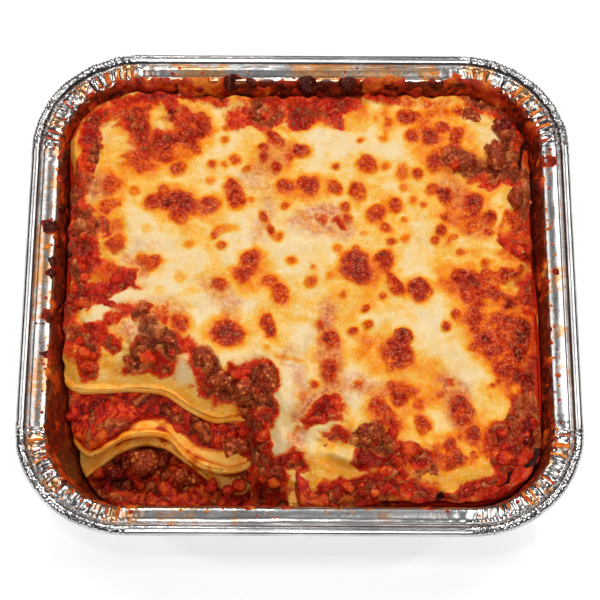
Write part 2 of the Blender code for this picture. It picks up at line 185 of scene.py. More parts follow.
# Long browned spots: (x, y, half length, half width, turn from +X in degrees, strength).
OVAL_SPOTS = (
    (-49, 36.5, 7.5, 5, -15, 1), (-27, 40, 8, 3.5, -70, .85), (-30, 25, 5, 2, 0, .35),
    (-45, -4, 5, 1.5, 0, .25), (-21, 8, 8, 4.5, 60, .85), (-8, -4, 5, 3.5, -60, .7), (21, 8, 6.5, 6, 90, 1),
    (38, 0, 5, 2.5, -60, .9), (14, 44, 4, 2.5, -60, .9), (-15, 30, 2.5, 1.5, -60, .8),
    (-12, 24, 3, 1.2, -70, .8), (12, -37, 6, 3, -80, .95), (-12.5, -17, 5.5, 3, -75, .9),
    (-5, -32, 6, 1, -20, .3), (38, -30, 7.5, 6, 90, .95), (27, 55, 4.5, 4, 90, .65),
    (-11, 67, 5, 2.7, -55, .95), (0, 61, 4, 2.8, -30, .95), (-50, 52, 3.5, 2.5, 20, .75),
    (-45, 70, 9, 6, 60, .85), (-55, 64, 7, 4, 30, .85), (-66, 69, 5, 4.5, 90, .9), (53, 67, 4, 3, 90, .9),
    (45, 77, 4.5, 3.5, 0, .9), (64, 68, 4, 3, 90, .75), (56, 56, 6, 4, 70, .75), (59, 40, 4, 3, -70, .95),
    (70, 37, 6, 4, 90, .95), (77, 30, 3.5, 2.5, 90, .85), (70, 26, 4, 3, 0, .7), (64, 3.5, 4, 3, 0, .95),
    (85, 5, 5, 2, 30, .5), (76, -3, 5, 3.5, 0, .9), (92, -7, 4, 3.5, 90, .85), (87, -19, 5, 4.5, 90, 1),
    (86, -27, 6, 4, 90, .95), (80, -37, 5, 4, 90, .75), (63, -54, 7, 5, 110, .95), (48, -60, 4, 3, 90, .75),
    (86, -57, 7, 4, 0, 1), (-70, 79, 11, 2.6, 14, .8),
)

# Broad toasted fields: (x, y, half length, half width, turn, strength).
TOASTED = (
    (86, -30, 12, 30, 0, .50), (76, 40, 12, 22, 0, .34), (48, -40, 16, 14, 30, .30),
    (80, -14, 18, 24, 0, .55), (66, 2, 14, 9, -20, .5), (60, 66, 16, 20, 20, .45),
    (66, 30, 16, 18, 10, .38), (-60, 62, 24, 14, 20, .42), (-50, 37, 15, 9, -5, .34),
    (-12, 58, 14, 12, -30, .30), (27, 5, 14, 11, 0, .33), (32, -28, 12, 12, 60, .34),
    (38, -54, 13, 14, 0, .46), (70, -68, 24, 10, 10, .50), (-77, 34, 8, 22, 0, .38), (4, 77, 34, 7, 0, .42),
    (-20, 5, 12, 10, 40, .30), (84, -46, 14, 10, 0, .50), (30, 38, 12, 8, -30, .30), (-60, 8, 9, 6, 0, .26),
    (14, -74, 12, 8, 0, .32), (20, -8, 14, 12, 0, .25), (3, 44, 14, 8, 0, .33), (-28, -20, 12, 9, 20, .34),
    (50, -74, 16, 8, 0, .50), (12, -30, 8, 18, 0, .26), (-80, -30, 16, 12, 0, .34),
    (88, 16, 10, 26, 0, .52), (-46, 66, 14, 9, 40, .44), (36, 74, 8, 8, 0, .28), (-36, 34, 10, 8, 0, .30),
)

# Sauce showing: (points, half width, strength), from orange at the edges to deep red.
SAUCE = (
    (((-87, 76), (-86, 66)), 4, .95), (((-86, 62), (-88, 52)), 4.5, .75),
    (((-90, 48), (-92, 38)), 5.5, .85), (((-93, 36), (-87, 31)), 5, .85),
    (((-88, 24), (-85, 12), (-88, 2)), 5.5, 1), (((-80, 26), (-79, 23)), 3, .7),
    (((-76, 18), (-74, 17)), 2.6, .65), (((-90, -2), (-84, -8), (-74, -4)), 6, 1),
    (((-78, 6), (-72, 3)), 5, .72), (((-67, 3), (-66, -2)), 2.2, .8),
    (((-92, -20), (-80, -17), (-68, -10)), 3.6, .8), (((-66, -10), (-55, -13)), 4, .74),
    (((-83, -23), (-85, -37)), 5, 1), (((-78, -21), (-72, -27)), 4, .8), (((-68, -38), (-50, -34)), 3, .8),
    (((-60, -28), (-50, -27)), 6, .76), (((-43, -45), (-42, -46)), 2.5, .6),
    (((-48, -16), (-47, -17)), 2.5, .5), (((-42, -28), (-34, -42), (-28, -50), (-22, -55)), 5.5, .92),
    (((-24, -38), (-14, -40), (-12, -54)), 6, .92), (((-20, -62), (-15, -72), (-10, -84)), 7, .95),
    (((-8, -74), (2, -76)), 4.6, 1), (((14, -50), (4, -59)), 3.8, .85), (((12, -58), (9, -56)), 3.6, 1),
    (((17, -64), (13, -63)), 3.6, .85), (((-1, -62), (-3, -64)), 2.6, .6), (((36, -60), (38, -66)), 4, .72),
    (((22, -76), (50, -72)), 4, .95), (((10, -89), (34, -84), (50, -88)), 5, 1),
    (((58, -88), (74, -81), (84, -72)), 4.6, 1), (((77, -66), (84, -64)), 6, 1),
    (((40, -70), (48, -71)), 3.5, .9), (((80, -76), (76, -76)), 4, .9),
    (((92, 46), (91, 34), (88, 27)), 5, .85), (((84, 18), (93, 16)), 5, .9), (((96, 32), (96, 12)), 3, .9),
    (((84, 82), (89, 68)), 6.5, 1), (((70, 90), (84, 84)), 6, .95), (((72, 51), (88, 47)), 5, .8),
    (((63, 61), (61, 54)), 4, .72), (((-4, 90), (2, 77)), 6, .85), (((9, 80), (20, 88)), 7, .95),
    (((2, 92), (24, 94)), 4, .9), (((-27, 76), (-12, 78)), 5.5, .72), (((-54, 92), (-52, 84)), 4.5, .9),
    (((-50, 76), (-42, 73)), 4.5, .72), (((-70, 75), (-66, 71)), 5, .85),
    (((-63, 61), (-50, 68)), 4.6, .78), (((-47, 72), (-45, 69)), 5.5, .8),
    (((-82, 83), (-66, 85)), 2.5, .62), (((-36, 85), (-35, 83)), 3, .85), (((13, 73), (14, 77)), 3.5, .75),
    (((2.5, 29), (2, 31)), 2.4, .42), (((14, 28), (15, 27)), 2.4, .42), (((8.5, 30), (9.5, 30)), 2, .36),
    (((13, 23), (14, 23)), 1.6, .36), (((-53, -42), (-47, -44)), 2, .5), (((96, -30), (96, -54)), 2.4, .8),
    (((90, -56), (94, -66)), 5, .8), (((-94, 40), (-95, 10)), 3, .9),
)

# Sauce buried under a film of cheese, so that it looks pink.
VEILED = (
    (((2, 28), (10, 31), (16, 27)), 6, .75), (((9, -8), (10, -20)), 3.4, .8),
    (((-16, 22), (-12, 42)), 3, .45), (((-34, -2), (-28, -10)), 5, .5), (((12, -26), (14, -40)), 4.2, .75),
    (((61, -40), (62, -56)), 5.5, .7), (((22, -42), (34, -46)), 5, .5), (((-20, 46), (-10, 60)), 5, .5),
    (((-64, -4), (-48, -14)), 4, .6), (((70, 22), (80, 32)), 4, .5), (((-58, 70), (-70, 62)), 5, .6),
    (((-63, 19), (-57, 16)), 3.6, .7), (((-88, 50), (-84, 42)), 5, .7), (((-71, -16), (-66, -20)), 3, .8),
    (((-1, -56), (10, -47)), 3.6, .9), (((15, -45), (27, -43)), 3.4, .7), (((60, 46), (66, 38)), 4, .6),
    (((-68, 12), (-62, 4)), 3.4, .6), (((2, -62), (-2, -68)), 3, .8),
    (((-3, -30), (2, -46), (-2, -54)), 4.4, .55), (((-50, -38), (-44, -30)), 3, .5),
)

# Mince lying in the topping, too flat to be a lump of its own.
MEAT = (
    (((-86, 30), (-86, 24)), 4.4, .95), (((-88, 46), (-86, 43)), 4, .7), (((-86, 61), (-85, 58)), 3.5, .9),
    (((-62, -12), (-60, -15)), 4.5, .9), (((-58, -21), (-55, -25)), 5, 1), (((-66, -28), (-64, -33)), 5, 1),
    (((-52, -24), (-50, -28)), 4, .9), (((-90, -21), (-88, -22)), 3, .8), (((-20, 81), (-18, 79)), 4, .9),
    (((-12, 77), (-10, 78)), 3.4, .7), (((-55, 76), (-52, 77)), 3.4, .7), (((63, 57), (69, 54)), 6.5, .95),
    (((81, 66), (81, 53)), 6.5, 1), (((88, 56), (92, 48)), 4, .9), (((92, 42), (91, 34)), 4, .8),
    (((70, 88), (80, 86)), 5, .95), (((94, -58), (93, -66)), 4, .8), (((84, -55), (91, -52)), 4.4, .8),
    (((25, -66), (31, -67)), 6, 1), (((-17, -41), (-15, -48)), 6, .95), (((-38, -32), (-36, -34)), 5, 1),
    (((-31, -43), (-30, -44)), 4.5, 1), (((-23, -46), (-21, -47)), 5, 1),
    (((-12, -82), (-8, -80)), 2.6, .7), (((10, -66), (13, -65)), 3, .7), (((47, -79), (52, -78)), 3.4, .9),
    (((78, -60), (84, -60)), 3, .7),
)

# Holes and shadowed gaps in the topping: sunk in the relief, and painted dark as their shadow.
DARK = (
    (((-94, 20), (-95, 5)), 1.3, 1), (((-95, -4), (-95, -14)), 1.2, .9), (((-96, 58), (-95, 76)), 1.2, 1),
    (((92, 60), (94, 68)), 1.8, 1), (((91, 52), (92, 60)), 1.6, .9), (((93, -70), (89, -77)), 1.8, 1),
    (((76, -84), (84, -80)), 1.4, .9), (((54, -88), (56, -88)), 1.6, 1), (((32, 86), (44, 86)), 1.3, 1),
    (((-46, 88), (-42, 91)), 1.6, .8), (((-10, -87), (-8, -88)), 1.4, .9), (((-2, -87), (0, -87)), 1.2, .8),
    (((-80, 74), (-73, 79)), 0.9, .8), (((-67, 81), (-62, 82)), 0.8, .9), (((97, -28), (97, -50)), 1, .9),
    (((97, 30), (97, 5)), 0.8, .8), (((90, 71), (90, 73)), 1.2, .8), (((39, -86), (38, -88)), 1.2, .7),
    (((66, -87), (72, -86)), 1.2, .8), (((-30, -36), (-26, -40)), 0.8, .7),
)

# Amber cheese and bare pasta, bright and smooth.
GOLD = (
    (((-92, -28), (-91, -40)), 3.4, .9),
    (((-94, 52), (-92, 66), (-90, 76), (-84, 83), (-76, 87.5), (-66, 88), (-58, 86)), 1.5, 1),
    (((-50, 82), (-38, 79)), 1.4, .9), (((-28, 89), (-30, 84)), 2.4, .8), (((-24, 88), (-9, 88)), 2.8, .9),
    (((44, 85), (62, 87)), 3, 1), (((58, -82), (72, -78)), 3.4, .8), (((50, -83), (58, -85)), 2.6, .9),
    (((9, -77), (20, -80)), 3, .9), (((5, -74), (5, -88)), 2.4, .9), (((50, -66), (62, -72)), 4, .7),
    (((97, -44), (97, -50)), 1.6, .8), (((96, -10), (95, -24)), 1.8, .8), (((82, 7), (94, 6)), 3.4, .7),
    (((-93, 1), (-91, -1)), 2.2, 1), (((-96, -44), (-76, -41), (-58, -43)), 2, .8),
    (((-52, -42), (-38, -50)), 2.4, .6), (((34, -62), (44, -66)), 2.4, .6),
)

# Thick pale cheese that stays clear of sauce and browning: (points, half width, strength).
PALE = (
    (((-5, -40), (-6, -56), (-8, -70)), 3.0, .95), (((82, 39), (81, 29)), 3.6, .95),
    (((74, 7), (80, 2), (90, 0)), 1.6, .8), (((-75, 64), (-74, 56)), 4, .8),
    (((-60, 73), (-55, 70)), 2.6, .8), (((62, 20), (70, 18), (79, 16)), 2, .8),
    (((-94, -15), (-80, -12), (-67, -6), (-52, -3), (-38, -7)), 3, 1),
    (((-78, -39), (-72, -33), (-68, -27)), 2, .8), (((-90, -44), (-80, -42)), 1.6, .5),
    (((5, -72), (7, -63), (13, -60.5)), 2.2, .95), (((8, -73), (17, -75)), 3.4, .8),
    (((46, -66), (60, -69), (72, -73)), 2, .6), (((68, 77), (74, 70), (80, 63)), 2.4, 1),
    (((-40, -24), (-24, -32), (-10, -30)), 2.4, .6), (((0, -20), (-1, -34)), 3, .5),
    (((-60, 20), (-42, 10), (-56, -2)), 6, .8), (((-70, 32), (-62, 24)), 5, .8),
    (((8, 18), (-2, 22)), 5, .5), (((30, 60), (10, 67)), 5, .7), (((46, 8), (50, 26)), 5, .6),
    (((30, 82), (31, 72)), 3.4, .7), (((30, -14), (60, -30), (72, -44), (78, -54)), 5, .8),
    (((-46, -30), (-44, -40)), 3.4, .6), (((-38, 86), (-41, 83)), 2, .8), (((-24, 28), (-26, 12)), 5, .5),
    (((20, -46), (48, -62)), 2, .5),
)

# --- colours, as a place from 0 to 1 and (red, green, blue) out of 255 ---
CHEESE_STOPS = (
    (0.0, (238, 210, 156)), (0.10, (240, 198, 118)), (0.20, (240, 178, 62)), (0.30, (242, 154, 12)),
    (0.40, (244, 128, 0)), (0.50, (226, 86, 0)), (0.62, (204, 50, 0)), (0.76, (176, 32, 2)),
    (0.90, (142, 20, 4)), (1.0, (98, 14, 6)),
)
SAUCE_STOPS = (
    (0.20, (240, 152, 36)), (0.34, (232, 104, 16)), (0.50, (222, 62, 12)), (0.68, (206, 34, 8)),
    (0.84, (180, 20, 6)), (1.0, (138, 11, 5)),
)
# The next four ramps colour sauce and mince by how high a point lies on its lump or grain: darker low down as
# painted shade, lighter on top as painted light, besides their own reds and browns.
LUMPY_SAUCE_STOPS = (
    (0.1, (96, 7, 2)), (0.28, (152, 14, 4)), (0.45, (194, 28, 6)), (0.62, (218, 56, 12)),
    (0.8, (228, 96, 24)), (1.0, (240, 140, 56)),
)
MINCE_STOPS = (
    (0.0, (122, 38, 14)), (0.25, (168, 68, 26)), (0.5, (206, 102, 44)), (0.75, (232, 136, 74)),
    (1.0, (250, 182, 126)),
)
TOPPING_MINCE_STOPS = (
    (0.28, (126, 40, 15)), (0.46, (172, 72, 28)), (0.64, (210, 108, 52)), (0.86, (238, 156, 100)),
)
SAUCE_MINCE_STOPS = ((0.15, (80, 20, 6)), (0.45, (150, 58, 20)), (0.75, (208, 116, 58)))
BURNT_WALL_STOPS = ((0.30, (30, 8, 4)), (0.46, (84, 20, 6)), (0.62, (142, 42, 8)), (0.76, (200, 92, 18)))
CRUST_STOPS = (
    (0.0, (228, 128, 36)), (0.22, (200, 82, 16)), (0.45, (176, 44, 10)), (0.72, (138, 26, 9)),
    (1.0, (66, 15, 8)),
)


def smooth(share):
    """0 to 1 with no kink at either end."""
    share = np.clip(share, 0, 1)
    return share * share * (3 - 2 * share)


def along(points, x):
    """A smooth curve through (x, value) points, flat outside them."""
    at, value = np.array(points, float).T
    x = np.clip(x, at[0], at[-1])
    i = np.clip(np.searchsorted(at, x), 1, len(at) - 1)
    before, after = np.maximum(i - 2, 0), np.minimum(i + 1, len(at) - 1)
    step = at[i] - at[i - 1]
    slope0 = (value[i] - value[before]) / (at[i] - at[before]) * step
    slope1 = (value[after] - value[i - 1]) / (at[after] - at[i - 1]) * step
    t = (x - at[i - 1]) / step
    return ((2 * t**3 - 3 * t**2 + 1) * value[i - 1] + (t**3 - 2 * t**2 + t) * slope0
            + (3 * t**2 - 2 * t**3) * value[i] + (t**3 - t**2) * slope1)


def back_from(line, x, y):
    """How far points lie behind one of the front lines."""
    return y - along(FRONT[line], x)


def past_outline(x, y, inset):
    """Distance to the tray's outline drawn in by inset: negative inside it."""
    past_x = np.abs(x) - (RIM_X / 2 - CORNER_RADIUS)
    past_y = np.abs(y) - (RIM_Y / 2 - CORNER_RADIUS)
    outside = np.hypot(np.maximum(past_x, 0), np.maximum(past_y, 0))
    return outside + np.minimum(np.maximum(past_x, past_y), 0) - (CORNER_RADIUS - inset)


def wall_inset(z):
    return np.interp(z, WALL_HEIGHTS, WALL_INSETS)


def held_in(x, y, z):
    """The points, with those past the tray's wall at their height drawn in to just inside it."""
    for _ in range(5):
        past = np.maximum(past_outline(x, y, wall_inset(z) + CLEARANCE), 0)
        share = 1 - past / np.maximum(np.hypot(x, y), 1.0)
        x, y = x * share, y * share
    return x, y


def reach(angles, height, front):
    """Distance from the middle to a surface's outline: its front line, or just short of the wall there."""
    near, far = np.zeros_like(angles), np.full_like(angles, RIM_X)
    for _ in range(40):
        middle = (near + far) / 2
        x, y = middle * np.cos(angles), middle * np.sin(angles)
        past = past_outline(x, y, wall_inset(height(x, y)) + CLEARANCE) > 0
        if front is not None:
            past |= back_from(front, x, y) < 0
        near, far = np.where(past, near, middle), np.where(past, middle, far)
    return near


def lattice(ix, iy, iz, seed):
    """A repeatable number from 0 to 1 for each whole-number point."""
    mixed = (ix * 73856093) ^ (iy * 19349663) ^ (iz * 83492791) ^ (seed * 2654435 + 97)
    mixed = (mixed & 0xFFFFFFFF).astype(np.uint64)
    mixed = ((mixed ^ (mixed >> np.uint64(15))) * np.uint64(2246822519)) & np.uint64(0xFFFFFFFF)
    mixed = ((mixed ^ (mixed >> np.uint64(13))) * np.uint64(3266489917)) & np.uint64(0xFFFFFFFF)
    return ((mixed ^ (mixed >> np.uint64(16))) & np.uint64(0xFFFFFF)) / float(0xFFFFFF)


def noise(x, y, size, seed, z=0.0):
    """Soft random relief from -1 to 1, whose swells are about size across."""
    x, y, z = (np.asarray(v, float) / size + 1000.0 for v in np.broadcast_arrays(x, y, z))
    ix, iy, iz = (np.floor(v).astype(np.int64) for v in (x, y, z))
    tx, ty, tz = (smooth(v - i) for v, i in ((x, ix), (y, iy), (z, iz)))
    total = 0.0
    for dx in (0, 1):
        for dy in (0, 1):
            for dz in (0, 1):
                weight = (tx if dx else 1 - tx) * (ty if dy else 1 - ty) * (tz if dz else 1 - tz)
                total = total + weight * lattice(ix + dx, iy + dy, iz + dz, seed)
    return 2 * total - 1


def rough(x, y, size, seed, z=0.0, octaves=3):
    """Several sizes of noise together, each half as large and half as high as the one before."""
    shares = [0.5**i for i in range(octaves)]
    layers = [share * noise(x, y, size * share, seed + 17 * i, z) for i, share in enumerate(shares)]
    return sum(layers) / sum(shares) * 1.5


# --- heights of the layers ---
def edge_share(sheet, x, y, zone=EDGE_ZONE):
    return smooth(1 - back_from(sheet, x, y) / zone)


def curl(x, y):
    depth = -past_outline(x, y, wall_inset(SHEET_Z["top"]) + CLEARANCE)
    rim = smooth(1 - depth / 9.0)
    angle = np.degrees(np.arctan2(y, x))
    return sum(rise * rim * smooth(1.6 - np.abs(angle - at) / half) for at, half, rise in CURLS)


def sheet_under(sheet, x, y):
    z = SHEET_Z[sheet] + edge_share(sheet, x, y) * (along(EDGE_Z[sheet], x) - SHEET_Z[sheet])
    return z + curl(x, y) if sheet == "top" else z


def sheet_over(sheet, x, y):
    return sheet_under(sheet, x, y) + SHEET


def gap_at(sheet, x, y):
    lifted = curl(x, y) if sheet == "top" else 0.0
    return GAP + WAVE_GAP * np.clip(6 * edge_share(sheet, x, y, GAP_ZONE) + lifted, 0, 1)


def sauce_over(sheet, own_front, below, x, y):
    lifted = curl(x, y) if sheet == "top" else 0.0
    z = sheet_under(sheet, x, y) - gap_at(sheet, x, y) - lifted
    ahead = LIP - back_from(sheet, x, y)
    lowest = below + THINNEST + 0.5 * np.clip(back_from(own_front, x, y), 0, 6)
    z = np.minimum(z, np.maximum(lowest, z - FACE_SLOPE * np.maximum(ahead, 0)))
    return np.maximum(z, below + THINNEST)


def base_sauce_over(x, y):
    z = sheet_under("lower", x, y) - gap_at("lower", x, y)
    return np.where(back_from("lower", x, y) < 1.0, np.minimum(FRONT_BASIN_Z, z), z)


def topping_over(x, y):
    wall = -past_outline(x, y, wall_inset(TOPPING_Z - TOPPING_EDGE_DROP) + CLEARANCE)
    step = FACE_SLOPE * back_from("topping", x, y)
    shoulder = 1 - smooth(np.minimum(wall, step) / TOPPING_SHOULDER)
    dome = TOPPING_DOME * (1 - (x / 95) ** 2) * (1 - (y / 92) ** 2)
    z = TOPPING_Z + np.maximum(dome, 0) - TOPPING_EDGE_DROP * shoulder
    for swell_x, swell_y, radius, height in SWELLS:
        z = z + height * smooth(1 - np.hypot(x - swell_x, y - swell_y) / radius)
    return np.maximum(z, sheet_over("top", x, y) + 0.5)


# --- marks ---
# How far the marks' edges wander, as swells for pushed: the spots keep to the first, and sauce has both.
WARP = ((1.1, 8.0, 11, 13), (0.8, 3.4, 12, 14), (0.3, 1.5, 19, 20))
LOOSE = ((1.8, 6.5, 15, 17), (0.7, 2.4, 16, 18))


def marked(x, y, z):
    """Where a surface point lies in the plane of the marks."""
    return x, y - (MARK_Z - z) * LEAN


def oval(x, y, centre_x, centre_y, long, wide, turn):
    """Distance from an oval's middle, 1 on its outline."""
    c, s = cos(radians(turn)), sin(radians(turn))
    dx, dy = x - centre_x, y - centre_y
    return np.hypot((c * dx + s * dy) / long, (c * dy - s * dx) / wide)


def line_distance(x, y, points):
    nearest = np.full(np.shape(x), 1e9)
    for (x0, y0), (x1, y1) in zip(points, points[1:]):
        dx, dy = x1 - x0, y1 - y0
        t = np.clip(((x - x0) * dx + (y - y0) * dy) / (dx * dx + dy * dy), 0, 1)
        nearest = np.minimum(nearest, np.hypot(x - x0 - t * dx, y - y0 - t * dy))
    return nearest


def bands(x, y, marks, soft):
    """How strongly the strongest of some bands shows at each point."""
    found = np.zeros(np.shape(x))
    for points, half_width, strength in marks:
        distance = line_distance(x, y, points)
        found = np.maximum(found, strength * smooth(0.5 + (half_width - distance) / soft))
    return found


def clumps(x, y, size, seed, z=None, crease=0.35):
    """Rounded lumps about size across: how high a point lies on its lump, 0 to 1, and the lump's number."""
    levels = (0,) if z is None else (-1, 0, 1)
    z = 0.5 * size if z is None else z
    x, y, z = (np.asarray(v, float) / size + 500.0 for v in np.broadcast_arrays(x, y, z))
    ix, iy, iz = (np.floor(v).astype(np.int64) for v in (x, y, z))
    nearest, second, pick = np.full(x.shape, 9.0), np.full(x.shape, 9.0), np.zeros(x.shape)
    for dx in (-1, 0, 1):
        for dy in (-1, 0, 1):
            for dz in levels:
                at = (ix + dx, iy + dy, iz + dz)
                seeds = [cell + 0.04 + 0.92 * lattice(*at, seed + i) for i, cell in enumerate(at)]
                flat = 0.0 if len(levels) == 1 else seeds[2] - z
                far = np.sqrt((seeds[0] - x) ** 2 + (seeds[1] - y) ** 2 + flat**2)
                pick = np.where(far < nearest, lattice(*at, seed + 9), pick)
                second = np.minimum(second, np.maximum(far, nearest))
                nearest = np.minimum(nearest, far)
    return smooth(1.15 - 0.9 * nearest) * smooth((second - nearest) / crease), pick


def pushed(x, y, *swells):
    """The points pushed about, so that no mark has a ruled edge. Each swell: how far, its size, two seeds."""
    return [at + sum(far * noise(x, y, size, seeds[i]) for far, size, *seeds in swells)
            for i, at in enumerate((x, y))]


def spot_share(past_middle, size):
    """How strong a spot's colour is at past_middle, which is 1 on its outline: a core and a wide halo."""
    reached = np.where(past_middle < 1, past_middle, 1 + (past_middle - 1) * size / np.clip(size, 2.6, 4.2))
    return 0.46 * smooth((1.22 - reached) / 0.7) + 0.54 * smooth((1.9 - reached) / 1.1)


def browning(x, y, plain_x, plain_y):
    """Browning from 0, white cheese, to 1, nearly black. Small spots keep nearer to their plain places."""
    ground = 0.12 + 0.10 * rough(x, y, 13.0, 21) + 0.07 * noise(x, y, 4.0, 23) + 0.05 * noise(x, y, 1.7, 25)
    total = np.clip(ground, 0.0, 1) ** 3
    patchy = 0.86 + 0.42 * noise(x, y, 5.0, 22) + 0.22 * noise(x, y, 2.2, 24)
    for *field, strength in TOASTED:
        total += (1.04 * strength * smooth(1.2 * (1.4 - oval(x, y, *field))) * patchy) ** 3
    total = np.maximum(total, 0)
    rounds = [(*place, radius, radius, 0, strength) for *place, radius, strength in SPOTS]
    for centre_x, centre_y, long, wide, turn, strength in (*rounds, *OVAL_SPOTS):
        size = sqrt(long * wide)
        loose = min(size / 4.0, 1.0)
        near_x, near_y = plain_x + loose * (x - plain_x), plain_y + loose * (y - plain_y)
        share = oval(near_x, near_y, centre_x, centre_y, long, wide, turn)
        total += ((0.24 + 0.57 * strength) * spot_share(share, size)) ** 3
    return np.cbrt(total)


def masks(x, y, rim, lip):
    """What shows at points in the plane of the marks, each from 0 to 1, and the height of the lumps there.

    rim is 1 beside the tray's wall, where sauce has welled up. lip is 1 on the bare edge of the top sheet."""
    at = pushed(x, y, *WARP)
    loose = pushed(x, y, *WARP, *LOOSE)
    brown = np.minimum(browning(*at, x, y), 0.92)
    mound, pick = clumps(*loose, 6.4, 33, crease=0.9)
    small, small_pick = clumps(*pushed(x, y, *WARP, (0.5, 1.4, 31, 32)), 2.2, 35, crease=0.5)
    pale = bands(*loose, PALE, 4.5)
    gold = bands(*at, GOLD, 2.4) * (1 - pale)
    clear = (1 - pale) * (1 - gold)
    sauce = bands(*loose, SAUCE, 6.0)
    sauce += smooth(sauce / 0.4) * (0.45 * (pick - 0.55) + 0.22 * (small_pick - 0.5))
    clear = clear * (1 - lip)
    welled = np.clip(rim * (0.66 + 0.5 * rough(x, y, 8.0, 36)), 0, 1) * (1 - 0.5 * gold) * (1 - lip)
    sauce = np.maximum(np.clip(sauce, 0, 1) * clear, welled)
    meat = bands(*loose, MEAT, 3.0) * clear * (0.62 + 0.5 * small_pick)
    meat = np.maximum(meat, 0.8 * smooth((sauce - 0.6) / 0.2) * (small_pick > 0.72))
    veil = bands(*loose, VEILED, 6.0) * (1 - pale) * smooth(1 - 2 * sauce)
    # dark marks the holes and gaps that are painted dark as shadow.
    dark = smooth((bands(*loose, DARK, 3.0) - 0.55) / 0.45)
    near_sauce = bands(*loose, SAUCE, 11.0) * (1 - 0.8 * pale)
    brown = np.cbrt(brown**3 + (0.34 * near_sauce) ** 3) * (1 - 0.6 * pale * smooth((0.55 - brown) / 0.1))
    brown = np.where(brown < 0.5, brown + gold * (0.27 - brown), brown)
    brown = brown + lip * (0.235 + 0.06 * noise(x, y, 5.0, 37) - brown)
    brown = np.maximum(brown, rim * (1 - 0.5 * gold) * (0.42 + 0.12 * noise(x, y, 6.0, 38)))
    rich = np.clip(np.maximum(sauce, meat) * 1.3, 0, 1)
    # crease is 1 on plain cheese and falls in the hollows between lumps of sauce and mince, where the look
    # paints shade.
    crease = 1 - rich * (0.35 + 0.65 * meat) * (1 - mound * (0.4 + 0.6 * small))
    lift = rich * ((2.2 + 1.2 * pick) * mound - 1.3 + 0.5 * small) + meat * (0.6 * mound + 0.9 * small)
    lift = (1 - lip) * (lift + 0.8 * smooth((brown - 0.36) / 0.34) + 0.9 * pale + 0.5 * gold) - 2.6 * dark
    return {"brown": brown, "sauce": sauce, "veil": veil, "meat": meat, "dark": dark, "crease": crease}, lift


# --- materials ---
def linear(colour):
    share = np.array(colour, float) / 255
    return (*np.where(share <= 0.04045, share / 12.92, ((share + 0.055) / 1.055) ** 2.4), 1.0)


class Step:
    """What one node of a look gives. Sums and products of steps make further nodes."""

    def __init__(self, look, socket):
        self.look, self.socket = look, socket

    def __add__(self, other):
        return self.look.maths("ADD", self, other)

    def __sub__(self, other):
        return self.look.maths("SUBTRACT", self, other)

    def __rsub__(self, other):
        return self.look.maths("SUBTRACT", other, self)

    def __mul__(self, other):
        return self.look.maths("MULTIPLY", self, other)

    def or_more(self, other):
        return self.look.maths("MAXIMUM", self, other)

    def held(self):
        """The same sum or product, held between 0 and 1."""
        self.socket.node.use_clamp = True
        return self

    def spread(self, low, high, new_low=0.0, new_high=1.0, soft=False):
        """The step from low..high moved to new_low..new_high, held at both ends."""
        sockets = {"Value": self, "From Min": low, "From Max": high, "To Min": new_low, "To Max": new_high}
        kind = "SMOOTHSTEP" if soft else "LINEAR"
        return self.look.step("ShaderNodeMapRange", sockets, interpolation_type=kind)

    def eased(self, low, high, new_low=0.0, new_high=1.0):
        return self.spread(low, high, new_low, new_high, soft=True)


class Look:
    """A node material being built."""

    def __init__(self, name, **sockets):
        self.material = bpy.data.materials.new(name)
        self.material.use_nodes = True
        self.tree = self.material.node_tree
        self.shader = self.tree.nodes["Principled BSDF"]
        for socket, value in sockets.items():
            self.shader.inputs[socket.replace("_", " ")].default_value = value
        place = self.step("ShaderNodeTexCoord", output="Object")
        self.place = self.step("ShaderNodeVectorMath", {0: place, 3: 1 / MM}, operation="SCALE")

    def step(self, kind, sockets=None, output=0, **settings):
        """A new node, fed with the sockets given, as the step that its output gives."""
        made = self.tree.nodes.new(kind)
        for name, value in settings.items():
            setattr(made, name, value)
        for socket, value in (sockets or {}).items():
            self.feed(made.inputs[socket], value)
        return Step(self, made.outputs[output])

    def feed(self, socket, value):
        if isinstance(value, Step):
            self.tree.links.new(value.socket, socket)
        else:
            socket.default_value = value

    def masks(self, *names):
        """Steps that read the masks that come with the mesh."""
        return [self.step("ShaderNodeAttribute", output="Fac", attribute_name=name) for name in names]

    def noise(self, size, detail=2.0, shape=0.5):
        sockets = {"Vector": self.place, "Scale": 1 / size, "Detail": detail, "Roughness": shape}
        return self.step("ShaderNodeTexNoise", sockets, "Fac")

    def maths(self, operation, *values):
        return self.step("ShaderNodeMath", dict(enumerate(values)), operation=operation)

    def shaken(self, far, size, detail, shape):
        """Noise from about -far / 2 to far / 2."""
        return (self.noise(size, detail, shape) - 0.5) * far

    def painted_glint_mask(self, fine=0.6, fine_range=(0.58, 0.72), broad=1.7, broad_range=(0.46, 0.62)):
        """Where small wet highlights are painted into a colour, gathered in patches."""
        return self.noise(fine).spread(*fine_range) * self.noise(broad).spread(*broad_range)

    def mix(self, share, first, second):
        colours = (linear(value) if isinstance(value, tuple) else value for value in (first, second))
        sockets = dict(zip((0, 6, 7), (share, *colours)))
        return self.step("ShaderNodeMix", sockets, 2, data_type="RGBA")

    def ramp(self, value, stops):
        step = self.step("ShaderNodeValToRGB", {"Fac": value}, "Color")
        elements = step.socket.node.color_ramp.elements
        elements[0].position, elements[1].position = stops[0][0], stops[-1][0]
        elements[0].color, elements[1].color = linear(stops[0][1]), linear(stops[-1][1])
        for position, colour in stops[1:-1]:
            elements.new(position).color = linear(colour)
        return step

    def finish(self, colour, roughness, height, depth, strength=1.0):
        """The material, with a relief depth millimetres deep."""
        sockets = {"Height": height, "Distance": depth * MM, "Strength": strength}
        normal = self.step("ShaderNodeBump", sockets, "Normal")
        for socket, value in (("Base Color", colour), ("Roughness", roughness), ("Normal", normal)):
            self.feed(self.shader.inputs[socket], value)
        return self.material


